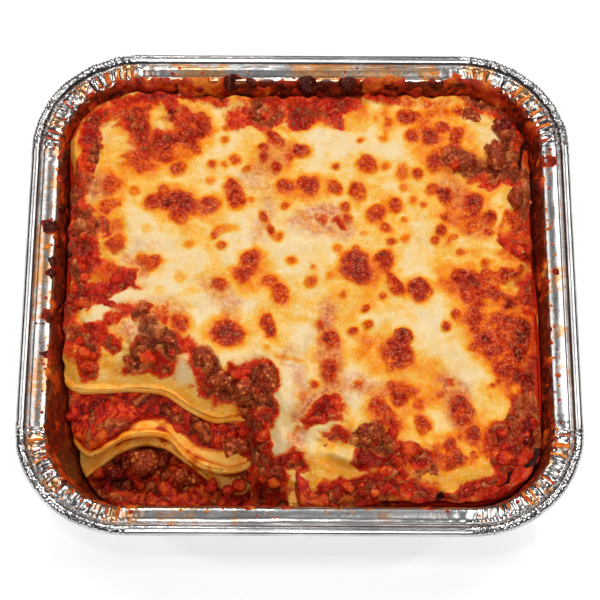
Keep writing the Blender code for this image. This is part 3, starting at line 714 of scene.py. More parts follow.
def baked_look():
    """Melted cheese, browned in spots, with sauce and mince showing between, and painted shade and glints."""
    look = Look("baked_cheese", Subsurface_Weight=0.04, Subsurface_Scale=0.002,
                Subsurface_Radius=(1.0, 0.6, 0.35), Specular_IOR_Level=0.16)
    brown, sauce, veil, meat, dark, crease = look.masks("brown", "sauce", "veil", "meat", "dark", "crease")
    fine, grain, blot = look.noise(0.48, 1.0, 0.6), look.noise(1.2, 2.0, 0.6), look.noise(2.8, 3.0, 0.6)
    sandy = grain + blot + look.noise(6.0, 3.0, 0.6) - 1.5
    cheese = look.ramp((brown + sandy * brown.spread(0.44, 0.68, 0.16, 0.8)).held(), CHEESE_STOPS)
    milky = look.mix(look.noise(9.0).spread(0.40, 0.62), (240, 212, 166), (236, 198, 138))
    cheese = look.mix(brown.spread(0.02, 0.14, 0.7, 0.0), cheese, milky)
    pink = look.mix(look.noise(1.8, 3.0, 0.65).spread(0.40, 0.62), (226, 132, 78), (186, 56, 26))
    colour = look.mix((veil * blot.spread(0.3, 0.55, 0.5, 1.15)).held(), cheese, pink)
    sauce = (sauce + look.shaken(0.8, 2.0, 3.0, 0.7) * sauce.spread(0.05, 0.4)).held()
    colour = look.mix(sauce.eased(0.06, 0.52), colour, look.ramp(sauce, SAUCE_STOPS))
    # Mince in the topping takes its colour from the crease mask: darker in the hollows as painted shade,
    # lighter on the lumps as a painted highlight.
    colour = look.mix(meat.eased(0.35, 0.75, 0.0, 0.9), colour,
                      look.ramp(crease * 0.6 + grain * 0.55, TOPPING_MINCE_STOPS))
    # Painted shade: the creases between lumps of sauce and mince darkened to deep red-brown.
    colour = look.mix(crease.spread(0.0, 0.40, 0.60, 0.0), colour, (92, 12, 4))
    burnt = brown.eased(0.46, 0.60) * meat.spread(0.3, 0.6, 1.0, 0.3) * sauce.spread(0.5, 0.8, 1.0, 0.35)
    colour = look.mix(burnt, colour, cheese)
    # Painted shadow: holes and gaps darkened to near black-brown, on top of their real dip in the relief.
    colour = look.mix(dark.eased(0.2, 0.7), colour, (60, 15, 7))
    wet = sauce.spread(0.2, 0.5).or_more(brown.spread(0.22, 0.5)).or_more(meat)
    # Painted highlights: small glints painted into the colour, white on the cheese and orange on the wet
    # parts, and none in the painted shadow of the gaps.
    painted_glints = fine.spread(0.50, 0.68) * look.noise(1.7, 1.0).spread(0.42, 0.62)
    painted_glints = painted_glints * brown.spread(0.3, 0.6, 0.34, 0.6) * dark.spread(0.2, 0.7, 1.0, 0.0)
    colour = look.mix(painted_glints, colour, look.mix(wet, (255, 252, 232), (250, 176, 112)))
    height = (grain * 0.8 + fine * 0.6) * wet.spread(0.0, 1.0, 0.5, 1.0)
    return look.finish(colour, (wet + fine).spread(0.4, 1.5, 0.26, 0.12), height, 0.9)


def pasta_look():
    """Cooked pasta: plump, smooth and yellow, stained by the sauce that lies on it."""
    look = Look("pasta", Subsurface_Weight=0.08, Subsurface_Scale=0.002,
                Subsurface_Radius=(1.0, 0.8, 0.5), Specular_IOR_Level=0.12)
    [sauce] = look.masks("sauce")
    stain = (sauce + look.shaken(0.6, 3.0, 3.0, 0.6)).held()
    plain = look.mix(look.noise(7.0, 3.0, 0.6).spread(0.38, 0.64), (255, 156, 36), (255, 194, 92))
    colour = look.mix(stain.eased(0.20, 0.5), plain, (226, 118, 14))
    colour = look.mix(stain.eased(0.5, 0.75), colour, (178, 32, 6))
    cells = look.step("ShaderNodeTexVoronoi", {"Vector": look.place, "Scale": 1 / 2.2}, "Distance")
    flecks = cells.spread(0.26, 0.16) * look.noise(5.0).spread(0.54, 0.6)
    colour = look.mix(flecks * 0.85, colour, (184, 62, 6))
    roughness = look.noise(1.2).spread(0.3, 0.7, 0.18, 0.34)
    return look.finish(colour, roughness, look.noise(1.6, 3.0, 0.55), 0.35, 0.6)


def sauce_look():
    """Tomato and meat sauce: deep red and orange, lumpy and wet, with brown mince in it."""
    look = Look("meat_sauce", Subsurface_Weight=0.08, Subsurface_Scale=0.0015,
                Subsurface_Radius=(1.0, 0.3, 0.1), Specular_IOR_Level=0.16)
    height, meat = look.masks("height", "meat")
    height = (height + look.shaken(0.9, 1.8, 4.0, 0.75)).held()
    # Coloured by height: darker in the hollows as painted shade and lighter on the tops as painted light,
    # besides the sauce's own reds and the mince's browns.
    colour = look.mix(meat.eased(0.4, 0.6, 0.0, 0.85), look.ramp(height, LUMPY_SAUCE_STOPS),
                      look.ramp(height, SAUCE_MINCE_STOPS))
    orange = look.noise(9.0, 3.0, 0.6).eased(0.52, 0.66, 0.0, 0.7)
    colour = look.mix(orange * height.spread(0.2, 0.6), colour, (226, 104, 24))
    # Painted highlights: small glints painted into the sauce's colour.
    colour = look.mix(look.painted_glint_mask() * 0.7, colour, (255, 176, 130))
    roughness = look.noise(1.0).spread(0.3, 0.7, 0.10, 0.26)
    return look.finish(colour, roughness, look.noise(1.2, 3.0, 0.65), 0.9)


def mince_look():
    """Browned mince: orange-brown grains, with painted shade in the creases and painted highlights on top."""
    look = Look("minced_meat", Subsurface_Weight=0.05, Subsurface_Scale=0.001, Specular_IOR_Level=0.12)
    crease, redness = look.masks("crease", "redness")
    # Dark in the creases as painted shade, pale on the grains' tops as a painted highlight.
    colour = look.ramp((crease + look.shaken(0.8, 1.1, 3.0, 0.7)).held(), MINCE_STOPS)
    colour = look.mix(look.noise(3.4, 2.0, 0.6).eased(0.50, 0.66) * redness, colour, (168, 30, 10))
    # Painted highlights: small glints painted into the mince's colour.
    colour = look.mix(look.painted_glint_mask() * 0.6, colour, (255, 204, 150))
    roughness = look.noise(0.9).spread(0.3, 0.7, 0.14, 0.34)
    return look.finish(colour, roughness, look.noise(0.8, 3.0, 0.65), 0.4, 0.8)


def foil_look():
    """Aluminium foil, with what the sauce baked onto it: a brown wall and orange specks on the flange."""
    look = Look("foil", Metallic=1.0)
    crust, film, cornered = look.masks("crust", "film", "cornered")
    shaken = look.shaken(0.9, 2.2, 4.0, 0.7)
    baked = (crust + shaken).eased(0.42, 0.62)
    oily = (film + shaken * 1.3).eased(0.40, 0.75)
    clean = look.mix(look.noise(14.0, 3.0, 0.6).spread(0.35, 0.7), (170, 168, 168), (206, 204, 202))
    colour = look.mix(oily * 0.8, clean, (206, 138, 58))
    colour = look.mix(baked, colour, look.ramp(look.noise(2.6, 4.0, 0.7), BURNT_WALL_STOPS))
    covered = baked.or_more(oily * 0.12)
    look.feed(look.shader.inputs["Metallic"], 1.0 - covered)
    roughness = cornered.spread(0.0, 1.0, 0.17, 0.15) + look.noise(1.0, 3.0, 0.6) * 0.12 + covered * 0.12
    height = look.noise(3.0, 3.0, 0.6) + baked * look.noise(0.9, 2.0, 0.6)
    return look.finish(colour, roughness, height, 0.16, 0.5)


def crust_look():
    """Sauce and cheese baked hard: orange-brown where thin, nearly black where burnt and in painted shade."""
    look = Look("baked_on_crust", Specular_IOR_Level=0.14)
    [dark] = look.masks("dark")
    colour = look.ramp((dark + (look.noise(2.4, 4.0, 0.7) - 0.5)).held(), CRUST_STOPS)
    # Painted highlights: small glints painted into the crust's colour.
    painted_glints = look.painted_glint_mask(0.6, (0.56, 0.70), 1.6, (0.45, 0.62))
    colour = look.mix(painted_glints * 0.5, colour, (240, 138, 84))
    roughness = look.noise(1.0).spread(0.3, 0.7, 0.16, 0.36)
    return look.finish(colour, roughness, look.noise(1.1, 3.0, 0.65), 0.6)


def floor_look():
    look = Look("studio_floor", Roughness=0.7, Specular_IOR_Level=0.1, Emission_Strength=0.45,
                Emission_Color=(1, 1, 1, 1))
    look.feed(look.shader.inputs["Base Color"], look.mix(look.noise(400.0), (228, 228, 228), (232, 232, 232)))
    return look.material


# --- mesh tools ---
def placed(name, data):
    """A new object in the scene."""
    made = bpy.data.objects.new(name, data)
    bpy.context.scene.collection.objects.link(made)
    return made


def make_piece(name, points, faces, look, slot, nodes=(), sharp=None, **attributes):
    """A mesh piece from points in millimetres. It rides on the one body and stands for its nodes."""
    mesh = bpy.data.meshes.new(name)
    mesh.from_pydata((np.asarray(points, float) * MM).tolist(), [], [tuple(face) for face in faces])
    mesh.materials.append(look)
    mesh.shade_smooth()
    if sharp is not None:
        mesh.set_sharp_from_angle(angle=radians(sharp))
    for key, values in attributes.items():
        made = mesh.attributes.new(key, "FLOAT", "POINT")
        made.data.foreach_set("value", np.asarray(values, np.float32))
    piece = placed(name, mesh)
    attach(piece, "root")
    if nodes:
        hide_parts(*nodes)
    return piece


def ring_faces(rings, columns, first=0):
    """Four-sided faces between closed rings of points, outward for rings that come down an outer side."""
    ring, column = np.meshgrid(np.arange(rings - 1), np.arange(columns), indexing="ij")
    after = (column + 1) % columns
    corners = (ring * columns + column, (ring + 1) * columns + column,
               (ring + 1) * columns + after, ring * columns + after)
    return (np.stack(corners, -1).reshape(-1, 4) + first).tolist()


def neighbours(count):
    """Each of count points round a closed ring, with the next one."""
    return list(zip(range(count), (*range(1, count), 0)))


def end_faces(rings, count):
    """Fans over the first and the last of some rings. Their middles are the two points after the rings."""
    total, last = rings * count, (rings - 1) * count
    return ([(total, a, b) for a, b in neighbours(count)]
            + [(total + 1, last + b, last + a) for a, b in neighbours(count)])


def with_middles(rings, at_middles=0.0):
    """A mask given ring by ring, and its value at the two middles."""
    return np.r_[np.concatenate(rings), at_middles, at_middles]


# --- tray ---
FLAT_STEP = 1.3
ARC_STEP = 0.42
CORNER_BLEND = 8        # columns to each side over which the pleats of a corner fade out
PLEAT_WIDTHS = (1.5, 3.2)
PLEAT_HEIGHT = 1.05
CRIMP_PITCH = 0.8
CRUST_EDGE = 11.7       # inset at which the baked-on crust ends
BEAD_Z = RIM_Z - BEAD_RADIUS
# The tray's inner side from the middle of its floor outwards. Each step: inset from the rim, height, how far
# the pleats push it outwards and upwards, and how far the crimps bite into it.
FLOOR_STEPS = (
    (31.0, 0.5, 0, 0, 0), (29.0, 0.5, 0, 0, 0), (26.4, 1.0, .1, 0, 0), (25.0, 1.9, .25, 0, 0),
    (23.9, 3.6, .5, 0, 0), (23.2, 5.5, .6, 0, 0),
)
WALL_STEP_HEIGHTS = (10, 15, 20, 25, 29, 32.5, 35.5, 38, 40)
FLANGE_STEPS = (
    (12.4, 41.3, .65, .2, 0), (11.9, 42.2, .5, .5, 0), (11.2, 42.8, .3, .8, 0), (10.4, 43.1, .1, 1, 0),
    (9.4, 43.25, 0, 1, 0), (8.4, 43.35, 0, 1, 0), (7.4, 43.4, 0, 1, 0), (6.5, 43.35, 0, .9, 0),
    (5.7, 43.1, 0, .7, .2), (5.3, 43.5, 0, .5, .5), (4.9, 43.5, 0, .4, .6), (4.5, 43.1, 0, .4, .7),
)
BEAD_TURNS = (150, 128, 106, 84, 62, 40, 18, -4, -30, -60, -95, -130)


def rim_columns(arc_step, flat_step):
    """Points round the rim: corner middle x, y, direction in radians, way along the rim, corner share."""
    half_x, half_y = RIM_X / 2 - CORNER_RADIUS, RIM_Y / 2 - CORNER_RADIUS
    corners = ((half_x, half_y), (-half_x, half_y), (-half_x, -half_y), (half_x, -half_y))
    arc = CORNER_RADIUS * pi / 2
    columns = []
    travelled = 0.0
    for k, (x, y) in enumerate(corners):
        for share in np.arange(0, 1, arc_step / arc):
            columns.append((x, y, (k + share) * pi / 2, travelled + share * arc, 1.0))
        travelled += arc
        next_x, next_y = corners[(k + 1) % 4]
        run = abs(next_x - x) + abs(next_y - y)
        for share in np.arange(0, 1, flat_step / run):
            at = (x + share * (next_x - x), y + share * (next_y - y))
            columns.append((*at, (k + 1) * pi / 2, travelled + share * run, 0.0))
        travelled += run
    return np.array(columns), travelled


def zigzag(length, widths, heights, rng):
    """Fold lines along the rim: places and alternating heights, closed round the loop."""
    places = [0.0]
    while places[-1] < length:
        places.append(places[-1] + rng.uniform(*widths))
    levels = [rng.uniform(*heights) * (1 if i % 2 else -1) for i in range(len(places))]
    levels[-1] = levels[0]
    return np.array(places) * length / places[-1], np.array(levels)


def tray_steps():
    """The steps of the tray's inner side, of its bead, and of its outer side down to the floor."""
    inner = [*FLOOR_STEPS, *((float(wall_inset(z)), z, .7, 0, 0) for z in WALL_STEP_HEIGHTS), *FLANGE_STEPS]
    turns = [radians(degrees) for degrees in BEAD_TURNS]
    bead = [(BEAD_RADIUS * (1 - cos(turn)), BEAD_Z + BEAD_RADIUS * sin(turn), 0, .25, 1) for turn in turns]
    doubled = [step for step in inner if step[0] > 5.5]
    outer = [(inset - FOIL * (z < 42.5), z - FOIL, out, up, 0) for inset, z, out, up, _ in reversed(doubled)]
    return inner, bead, outer


def make_tray(look):
    rng = np.random.default_rng(5)
    columns, length = rim_columns(ARC_STEP, FLAT_STEP)
    centre_x, centre_y, angle, travel, cornered = columns.T
    blend = np.ones(2 * CORNER_BLEND + 1) / (2 * CORNER_BLEND + 1)
    near_corner = np.clip(np.convolve(np.pad(cornered, CORNER_BLEND, "wrap"), blend, "valid"), 0, 1)
    folds = zigzag(length, PLEAT_WIDTHS, (0.35, 1.0), rng)
    fine_folds = zigzag(length, (0.6, 1.1), (0.3, 1.0), rng)
    crimps = zigzag(length, (CRIMP_PITCH * 0.8, CRIMP_PITCH * 1.25), (0.5, 1.0), rng)
    creases = zigzag(length, (6.0, 16.0), (0.2, 1.0), rng)
    edge = CRUST_EDGE + 0.7 * noise(travel, 0, 5.0, 55) + 0.5 * noise(travel, 0, 1.6, 56)
    stain = 0.32 + 0.14 * smooth(-np.cos(angle)) + 0.22 * smooth(2 * np.sin(angle) - 1)
    inner, bead, outer = tray_steps()
    steps = [*inner, *bead, *outer]
    points, crust, film = [], [], []
    for i, (inset, z, out, up, crimp) in enumerate(steps):
        lean = 0.9 * rough(travel, inset * 1.5, 9.0, 51) * smooth(inset / 4)
        fold = 0.84 * np.interp((travel + lean) % length, *folds)
        fold = fold + 0.16 * np.interp((travel + 0.6 * lean) % length, *fine_folds)
        pleat = PLEAT_HEIGHT * fold * near_corner * (0.75 + 0.35 * noise(travel, inset, 6.0, 52))
        crease = np.interp((travel + 0.7 * inset) % length, *creases) * (1 - near_corner)
        dent = 0.11 * rough(travel, inset * 2.0, 14.0, 53) * (1 - 0.6 * near_corner)
        bite = crimp * near_corner * 0.34 * (np.interp(travel, *crimps) + 0.5 * noise(travel, 0, 3.0, 54))
        push = out * (0.55 * pleat + 0.05 * crease + dent) + bite * (1 if z > BEAD_Z else 0.5)
        height = z + up * (pleat + 0.07 * crease + dent) + 0.7 * bite * (z > BEAD_Z + 0.5)
        if i < len(inner) + len(bead):
            height = np.minimum(height, RIM_Z + 0.35)
        radius = CORNER_RADIUS - inset + push
        x, y = centre_x + radius * np.cos(angle), centre_y + radius * np.sin(angle)
        points.append(np.stack([x, y, height], -1))
        inside = i < len(inner)
        crust.append(inside * smooth((inset - edge) / 1.4 + 0.5))
        creep = smooth(1 - (edge - inset) / 2.6) * (0.62 + 0.4 * noise(travel, inset, 3.0, 57))
        film.append(inside * np.maximum(creep, stain + 0.34 * rough(travel, inset, 8.0, 58)))
    points.append(np.array([[0, 0, FOIL], [0, 0, 0]]))
    faces = [tuple(reversed(face)) for face in ring_faces(len(steps), len(travel))]
    make_piece("foil_tray_dressed", np.concatenate(points), faces + end_faces(len(steps), len(travel)), look,
               "foil", ["foil_tray"], sharp=24, crust=with_middles(crust), film=with_middles(film),
               cornered=with_middles([near_corner] * len(steps)))


# --- baked top ---
TOP_CELLS = 148          # cells from the middle to the edge of the baked top
OUTLINE_POINTS = 2880
SKIRT = ((0.0, 1.2), (0.5, 3.2), (1.2, 6.0))
FLAP_X, FLAP_HALF, FLAP_DROP = 20.0, 9.0, 5.0


def draped_over(x, y):
    """The model's topping, drawn on down the slump to the near wall, with the flap of pasta on it."""
    ahead = np.maximum(-back_from("topping", x, y), 0)
    fall = np.interp(x, (-14, 0, 12, 34), (0.85, 0.60, 0.34, 0.30))
    flap = smooth(1.4 - np.abs(x - FLAP_X) / FLAP_HALF) * smooth(ahead / 2.0)
    return topping_over(x, y) * (ahead == 0) + (ahead > 0) * (
        topping_over(x, along(FRONT["topping"], x)) - fall * ahead - FLAP_DROP * flap)


def top_outline(angles):
    """The baked top's outline: the model's, ragged at the front, and on past the slump to the wall."""
    reaches = reach(angles, draped_over, "dressed")
    x, y = reaches * np.cos(angles), reaches * np.sin(angles)
    flowing = smooth((-54 - y) / 4) * smooth((-4 - x) / 6)
    ragged = 0.5 * noise(x, y, 2.6, 61) + 0.8 * noise(x, y, 7.0, 62) + 3.0 * flowing * noise(x, y, 5.0, 60)
    by_wall = np.minimum(1.5 * ragged - 1.2 + 0.9 * smooth((y - 60) / 20), 0.3)
    return reaches - 0.3 + np.where(back_from("dressed", x, y) < 1.0, ragged, by_wall)


def top_relief(x, y, z, share):
    """Height of the finished baked top over the model's, and the masks that go with it."""
    back = back_from("dressed", x, y)
    slumped = smooth((-14 - x) / 6)
    lip = slumped * smooth(1 - (back - 0.6 - 1.5 * noise(x, y, 7.0, 69)) / 6.0)
    lip = lip * (0.75 + 0.5 * noise(x, y, 9.0, 70))
    rim = smooth((share - 0.89 - 0.02 * noise(x, y, 9.0, 68)) / 0.07)
    rim = rim * (1 - slumped * smooth(1 - (back - 4) / 6))
    shown, lift = masks(*marked(x, y, z), rim, np.clip(lip, 0, 1))
    flow = 1.3 * rough(x, y, 14.0, 63) + 0.5 * noise(x, y, 5.5, 64) + 0.12 * noise(x, y, 2.6, 66)
    flow = flow + rim * (3.4 + 2.4 * rough(x, y, 9.0, 65)) * smooth((y - 30) / 30)
    grain = (0.06 + 0.14 * smooth((shown["brown"] - 0.3) / 0.3)) * noise(x, y, 1.3, 67)
    return 0.4 + flow + grain + lift, shown


def eased(values, width):
    """Values round a closed loop, averaged over width of them to each side."""
    weights = np.hanning(2 * width + 3)[1:-1]
    rolled = [weight * np.roll(values, i - width) for i, weight in enumerate(weights)]
    return sum(rolled) / weights.sum()


def top_grid():
    """A square grid bent to the baked top's outline: x, y, share of the way out and distance from the rim."""
    line = np.arange(-TOP_CELLS, TOP_CELLS + 1) / TOP_CELLS
    u, v = np.meshgrid(line, line, indexing="ij")
    share = np.maximum(np.abs(u), np.abs(v))
    angles = np.arctan2(v * RIM_Y, u * RIM_X)
    turns = np.linspace(-pi, pi, OUTLINE_POINTS, endpoint=False)
    rim = eased(top_outline(turns), 6)
    outer = np.interp(angles, turns, rim, period=2 * pi)
    inner = np.interp(angles, turns, eased(rim, 130), period=2 * pi)
    outline = inner + (outer - inner) * smooth((share - 0.55) / 0.45)
    return share * outline * np.cos(angles), share * outline * np.sin(angles), share, (1 - share) * outline


def top_surface(x, y, share, from_rim):
    """Height of the baked top, thin over the bare lip and sunk at the end of the slump, and its masks."""
    base = draped_over(x, y)
    lift, shown = top_relief(x, y, base, share)
    edge = smooth(from_rim / 3.5)
    ahead, back = -back_from("topping", x, y), back_from("dressed", x, y)
    sheet = sheet_over("top", x, y)
    z = base + lift * edge - 0.35 * (1 - edge)
    z = np.where(ahead > 0, z, np.maximum(z, sheet - 0.25))
    bare = sheet + 0.1 + smooth(back / 6.0) + 0.5 * noise(x, y, 4.0, 58) * smooth(back / 2.0)
    thinning = np.maximum(smooth((back + 1.5) / 15.0), smooth((x + 24) / 9))
    calm = np.maximum(smooth((-22 - x) / 4), (x < -15) & (ahead <= 0))
    z = z + calm * (1 - thinning) * (bare - z)
    flowing = smooth((ahead - 1) / 3) * smooth((-6 - x) / 6) * smooth((x + 28) / 4)
    border = flowing * smooth(1 - from_rim / 6.0)
    shown["sauce"] = np.maximum(shown["sauce"], smooth(2.5 * border) * (0.62 + 0.25 * noise(x, y, 4.0, 59)))
    return z - 5.0 * border, shown


def make_top(look):
    """The baked top: a grid, and a skirt that tucks its rim in under it."""
    x, y, share, from_rim = top_grid()
    z, shown = top_surface(x, y, share, from_rim)
    grid = np.stack([*held_in(x, y, z), z], -1).reshape(-1, 3)
    index = np.arange(x.size).reshape(x.shape)
    faces = np.stack([index[:-1, :-1], index[1:, :-1], index[1:, 1:], index[:-1, 1:]], -1)
    rim = np.r_[index[:-1, 0], index[-1, :-1], index[:0:-1, -1], index[0, :0:-1]]
    rim_x, rim_y, rim_z = grid[rim].T
    at_front = (back_from("dressed", rim_x, rim_y) < 2.5) & (rim_x < -25)
    tucked = np.minimum(rim_z, sheet_over("top", rim_x, rim_y) - 0.3)
    points = [grid]
    for inward, drop in SKIRT:
        shrink = 1 - inward / np.hypot(rim_x, rim_y)
        ring_z = np.where(at_front, tucked - 0.02 * drop, rim_z - drop)
        points.append(np.stack([*held_in(rim_x * shrink, rim_y * shrink, ring_z), ring_z], -1))
    middle = np.zeros(1)
    points.append(np.stack([middle, middle, sheet_over("top", middle, middle)], -1))
    first, around = len(grid), len(rim)
    bottom = first + around * len(SKIRT)
    last = bottom - around
    faces = faces.reshape(-1, 4).tolist()
    faces += [(rim[b], rim[a], first + a, first + b) for a, b in neighbours(around)]
    faces += ring_faces(len(SKIRT), around, first)
    faces += [(bottom, last + b, last + a) for a, b in neighbours(around)]
    sauced = np.r_[np.tile(np.where(at_front, 0.0, 0.85), len(SKIRT)), 0.85]
    skirt = {"brown": 0.25, "sauce": sauced, "veil": 0.0, "meat": 0.0, "dark": 0.0, "crease": 0.6}
    shown = {key: np.r_[values.ravel(), 0 * sauced + skirt[key]] for key, values in shown.items()}
    make_piece("baked_top", np.concatenate(points), faces, look, "baked_cheese", ["baked_cheese_topping"],
               **shown)


# --- pasta and sauce layers ---
SHOWN_FROM, SHOWN_TO = 196.0, 302.0      # directions, in degrees, between which the layers show
TOP_SHARES = (*np.linspace(0.30, 0.72, 5), *np.linspace(0.74, 0.985, 34))
EDGE_TURNS = (90, 65, 40, 15, -15, -40, -65, -90)
UNDER_SHARES = (0.96, 0.9, 0.8, 0.6, 0.3)


def make_layer(name, over, under, front, look, slot, node, edge_round, relief, shown):
    """A layer of food with a rounded edge: rings out over its top, round its edge and back underneath."""
    hidden = np.arange(SHOWN_TO - 360, SHOWN_FROM, 3.0)
    angles = np.radians(np.r_[hidden, np.arange(SHOWN_FROM, SHOWN_TO, 0.3)])
    outline = reach(angles, over, front)
    rings, marks = [], []

    def add_ring(x, y, z):
        rings.append(np.stack([*held_in(x, y, z), z], -1))
        marks.append(shown(x, y, z))

    def at(share, out=0.0):
        return (share * outline + out) * np.cos(angles), (share * outline + out) * np.sin(angles)

    x, y = at(1.0)
    thick = (over(x, y) - under(x, y)) / 2
    for share in TOP_SHARES:
        x, y = at(share)
        add_ring(x, y, over(x, y) + relief(x, y))
    for degrees in EDGE_TURNS:
        turn = radians(degrees)
        x, y = at(1.0, edge_round * (cos(turn) - 1))
        middle = (over(x, y) + under(x, y)) / 2
        add_ring(x, y, middle + thick * sin(turn) + 0.5 * relief(x, y) * (degrees > 0))
    for share in UNDER_SHARES:
        x, y = at(share)
        add_ring(x, y, under(x, y))
    zero = np.array(0.0)
    points = np.concatenate([*rings, [[0, 0, float(over(zero, zero))], [0, 0, float(under(zero, zero))]]])
    faces = ring_faces(len(rings), len(angles)) + end_faces(len(rings), len(angles))
    marks = {key: with_middles([ring[key] for ring in marks], 0.5) for key in marks[0]}
    make_piece(name, points, faces, look, slot, [node], **marks)


def make_sheet(sheet, covering, look, plump):
    """A pasta sheet, swollen at its front edge and stained where the layer called covering lies on it."""
    def over(x, y):
        return sheet_over(sheet, x, y) + 0.4 + 0.3 * plump * edge_share(sheet, x, y, EDGE_ROLL)

    def under(x, y):
        return sheet_under(sheet, x, y) - 0.2 - 0.7 * plump * edge_share(sheet, x, y, EDGE_ROLL)

    def fold(x, y):
        """The groove behind the edge, where the middle sheet has folded on itself."""
        back = back_from(sheet, x, y) - 3.6 - 1.1 * noise(x, 0, 9.0, 74)
        return np.exp(-(back / 0.8) ** 2) * smooth((x + 88) / 10) * (sheet == "middle")

    def relief(x, y):
        return 0.45 * rough(x, y, 7.0, 71) + 0.1 * noise(x, y, 2.5, 72) - fold(x, y)

    def shown(x, y, z):
        back = back_from(covering, x, y) - (8 if sheet == "top" else 0)
        patch = (0.2 if sheet == "top" else 0.6) * np.clip(rough(x, y, 6.0, 73), 0, 1)
        stain = np.clip(smooth((back + 3.0) / 3.5) * 0.8 + patch + 0.45 * fold(x, y), 0, 1)
        return {"sauce": stain * (z > under(x, y) + 0.2)}

    make_layer(f"pasta_{sheet}", over, under, sheet, look, "pasta", f"pasta_sheet_{sheet}",
               0.9 + 0.6 * plump, relief, shown)


def sauce_lumps(x, y, seed):
    """Relief of a lumpy sauce, and the masks that go with it."""
    at = pushed(x, y, (1.5, 4.5, seed + 3, seed + 4), (0.5, 1.6, seed + 1, seed + 2))
    swell = 0.5 + 0.5 * rough(x, y, 6.0, seed)
    mound, pick = clumps(*at, 4.0, seed + 5, crease=0.6)
    small, _ = clumps(*at, 1.7, seed + 6, crease=0.6)
    meat = 1.0 * (pick > 0.70)
    relief = 2.4 * swell - 1.3 + 1.2 * mound * (pick > 0.4) + (0.3 + 0.5 * meat) * small
    return relief, {"height": 0.42 * swell + 0.33 * mound + 0.25 * small, "meat": meat}


def make_sauce(name, own_front, above, below, look):
    """The sauce between two sheets, lumpy where nothing lies on it."""
    def under(x, y):
        return sheet_over(below, x, y) + 0.15

    def over(x, y):
        return sauce_over(above, own_front, under(x, y), x, y)

    def relief(x, y):
        return smooth((3 - back_from(above, x, y)) / 5) * sauce_lumps(x, y, 75)[0]

    make_layer(f"{name}_dressed", over, under, own_front, look, "meat_sauce", name, 1.0, relief,
               lambda x, y, z: sauce_lumps(x, y, 75)[1])


def make_base_sauce(look):
    def under(x, y):
        return 0.8 + 0 * x

    def relief(x, y):
        open_air = smooth((3 - back_from("lower", x, y)) / 5)
        return open_air * (1.5 * sauce_lumps(x, y, 85)[0] + 0.8 * rough(x, y, 9.0, 78))

    make_layer("meat_sauce_base_dressed", base_sauce_over, under, None, look, "meat_sauce", "meat_sauce_base",
               1.0, relief, lambda x, y, z: sauce_lumps(x, y, 85)[1])


# --- mince and tomato ---
LOBES = 6
LUMPS = [name for name in sorted(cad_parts)
         if name.startswith(("meat_", "tomato_")) and "sauce" not in name]


def sphere_points(level):
    """Points and faces of a ball of radius 1."""
    tools = bmesh.new()
    bmesh.ops.create_icosphere(tools, subdivisions=level, radius=1.0)
    points = np.array([vert.co[:] for vert in tools.verts])
    faces = [[vert.index for vert in face.verts] for face in tools.faces]
    tools.free()
    return points, faces


def merged(shapes):
    """One set of points and faces from several."""
    points, faces, start = [], [], 0
    for some_points, some_faces in shapes:
        points.append(some_points)
        faces += [[i + start for i in face] for face in some_faces]
        start += len(some_points)
    return np.concatenate(points), faces


def make_bits(name, shapes, heights, look, slot, redness, nodes=()):
    """One piece from several lumps, with how high each of their points lies on its grain."""
    points, faces = merged(shapes)
    heights = np.concatenate(heights)
    make_piece(name, points, faces, look, slot, nodes, crease=heights, height=heights, meat=0 * heights,
               redness=0 * heights + redness)


def grainy_lump(points, half_sizes, grain, rng):
    """A clump of mince: lobes grown together, made of grains, and how high each point lies on its grain."""
    half = np.array(half_sizes, float)
    size = half.min()
    directions = rng.normal(size=(LOBES, 3))
    directions /= np.linalg.norm(directions, axis=1)[:, None]
    lobes = size * rng.uniform(0.40, 0.78, LOBES)
    middles = directions * np.maximum(half - lobes[:, None], 0.1) * rng.uniform(0.85, 1.0, (LOBES, 1))
    rays = points * half
    rays /= np.linalg.norm(rays, axis=1)[:, None]
    onto = rays @ middles.T
    left = lobes**2 - (np.sum(middles**2, 1) - onto**2)
    hit = np.where(left > 0, onto + np.sqrt(np.maximum(left, 0)), 0)
    core = 0.74 / np.linalg.norm(rays / half, axis=1)
    radius = np.maximum(hit.max(1), core)
    shift = rng.uniform(0, 300)
    x, y, z = (rays * radius[:, None]).T + shift
    x, y, z = (v + 0.55 * grain * noise(x, y, 1.3 * grain, 93 + i, z) for i, v in enumerate((x, y, z)))
    coarse, _ = clumps(x, y, 2.9 * grain, 91, z, crease=0.9)
    small, _ = clumps(x, y, 1.5 * grain, 92, z, crease=0.9)
    height = 0.72 * coarse + 0.28 * small
    swell = 0.10 * size * noise(x, y, 0.9 * size, 96, z)
    return rays * (radius + swell + grain * (height - 0.5))[:, None], height


def make_lumps(mince, tomato):
    points, faces = sphere_points(5)
    for i, name in enumerate(LUMPS):
        low, high = (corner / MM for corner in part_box(name))
        middle, half = (low + high) / 2, (high - low) / 2
        red = name.startswith("tomato")
        shape, height = grainy_lump(points, half, 1.25 if red else 0.95, np.random.default_rng(100 + i))
        make_bits(f"{name}_dressed", [(shape + np.array(middle), faces)], [height], tomato if red else mince,
                  "tomato" if red else "minced_meat", 0.6, [name])


def top_point(mark_x, mark_y):
    """The points of the baked top that show at places in the plane of the marks."""
    z = np.full(mark_x.shape, MARK_Z)
    for _ in range(4):
        y = mark_y + (MARK_Z - z) * LEAN
        z = draped_over(mark_x, y) + top_relief(mark_x, y, draped_over(mark_x, y), np.full(y.shape, 0.5))[0]
    return mark_x, y, z


def smooth_lump(points, half_sizes, grain, rng):
    """A soft piece of tomato. Also gives how pale each point is."""
    x, y, z = (points * half_sizes).T + rng.uniform(0, 300)
    swell = 1 + 0.30 * noise(x, y, 0.8 * grain, 97, z) + 0.12 * noise(x, y, 0.35 * grain, 98, z)
    return points * half_sizes * swell[:, None], 0.48 + 0.3 * noise(x, y, grain, 99, z)


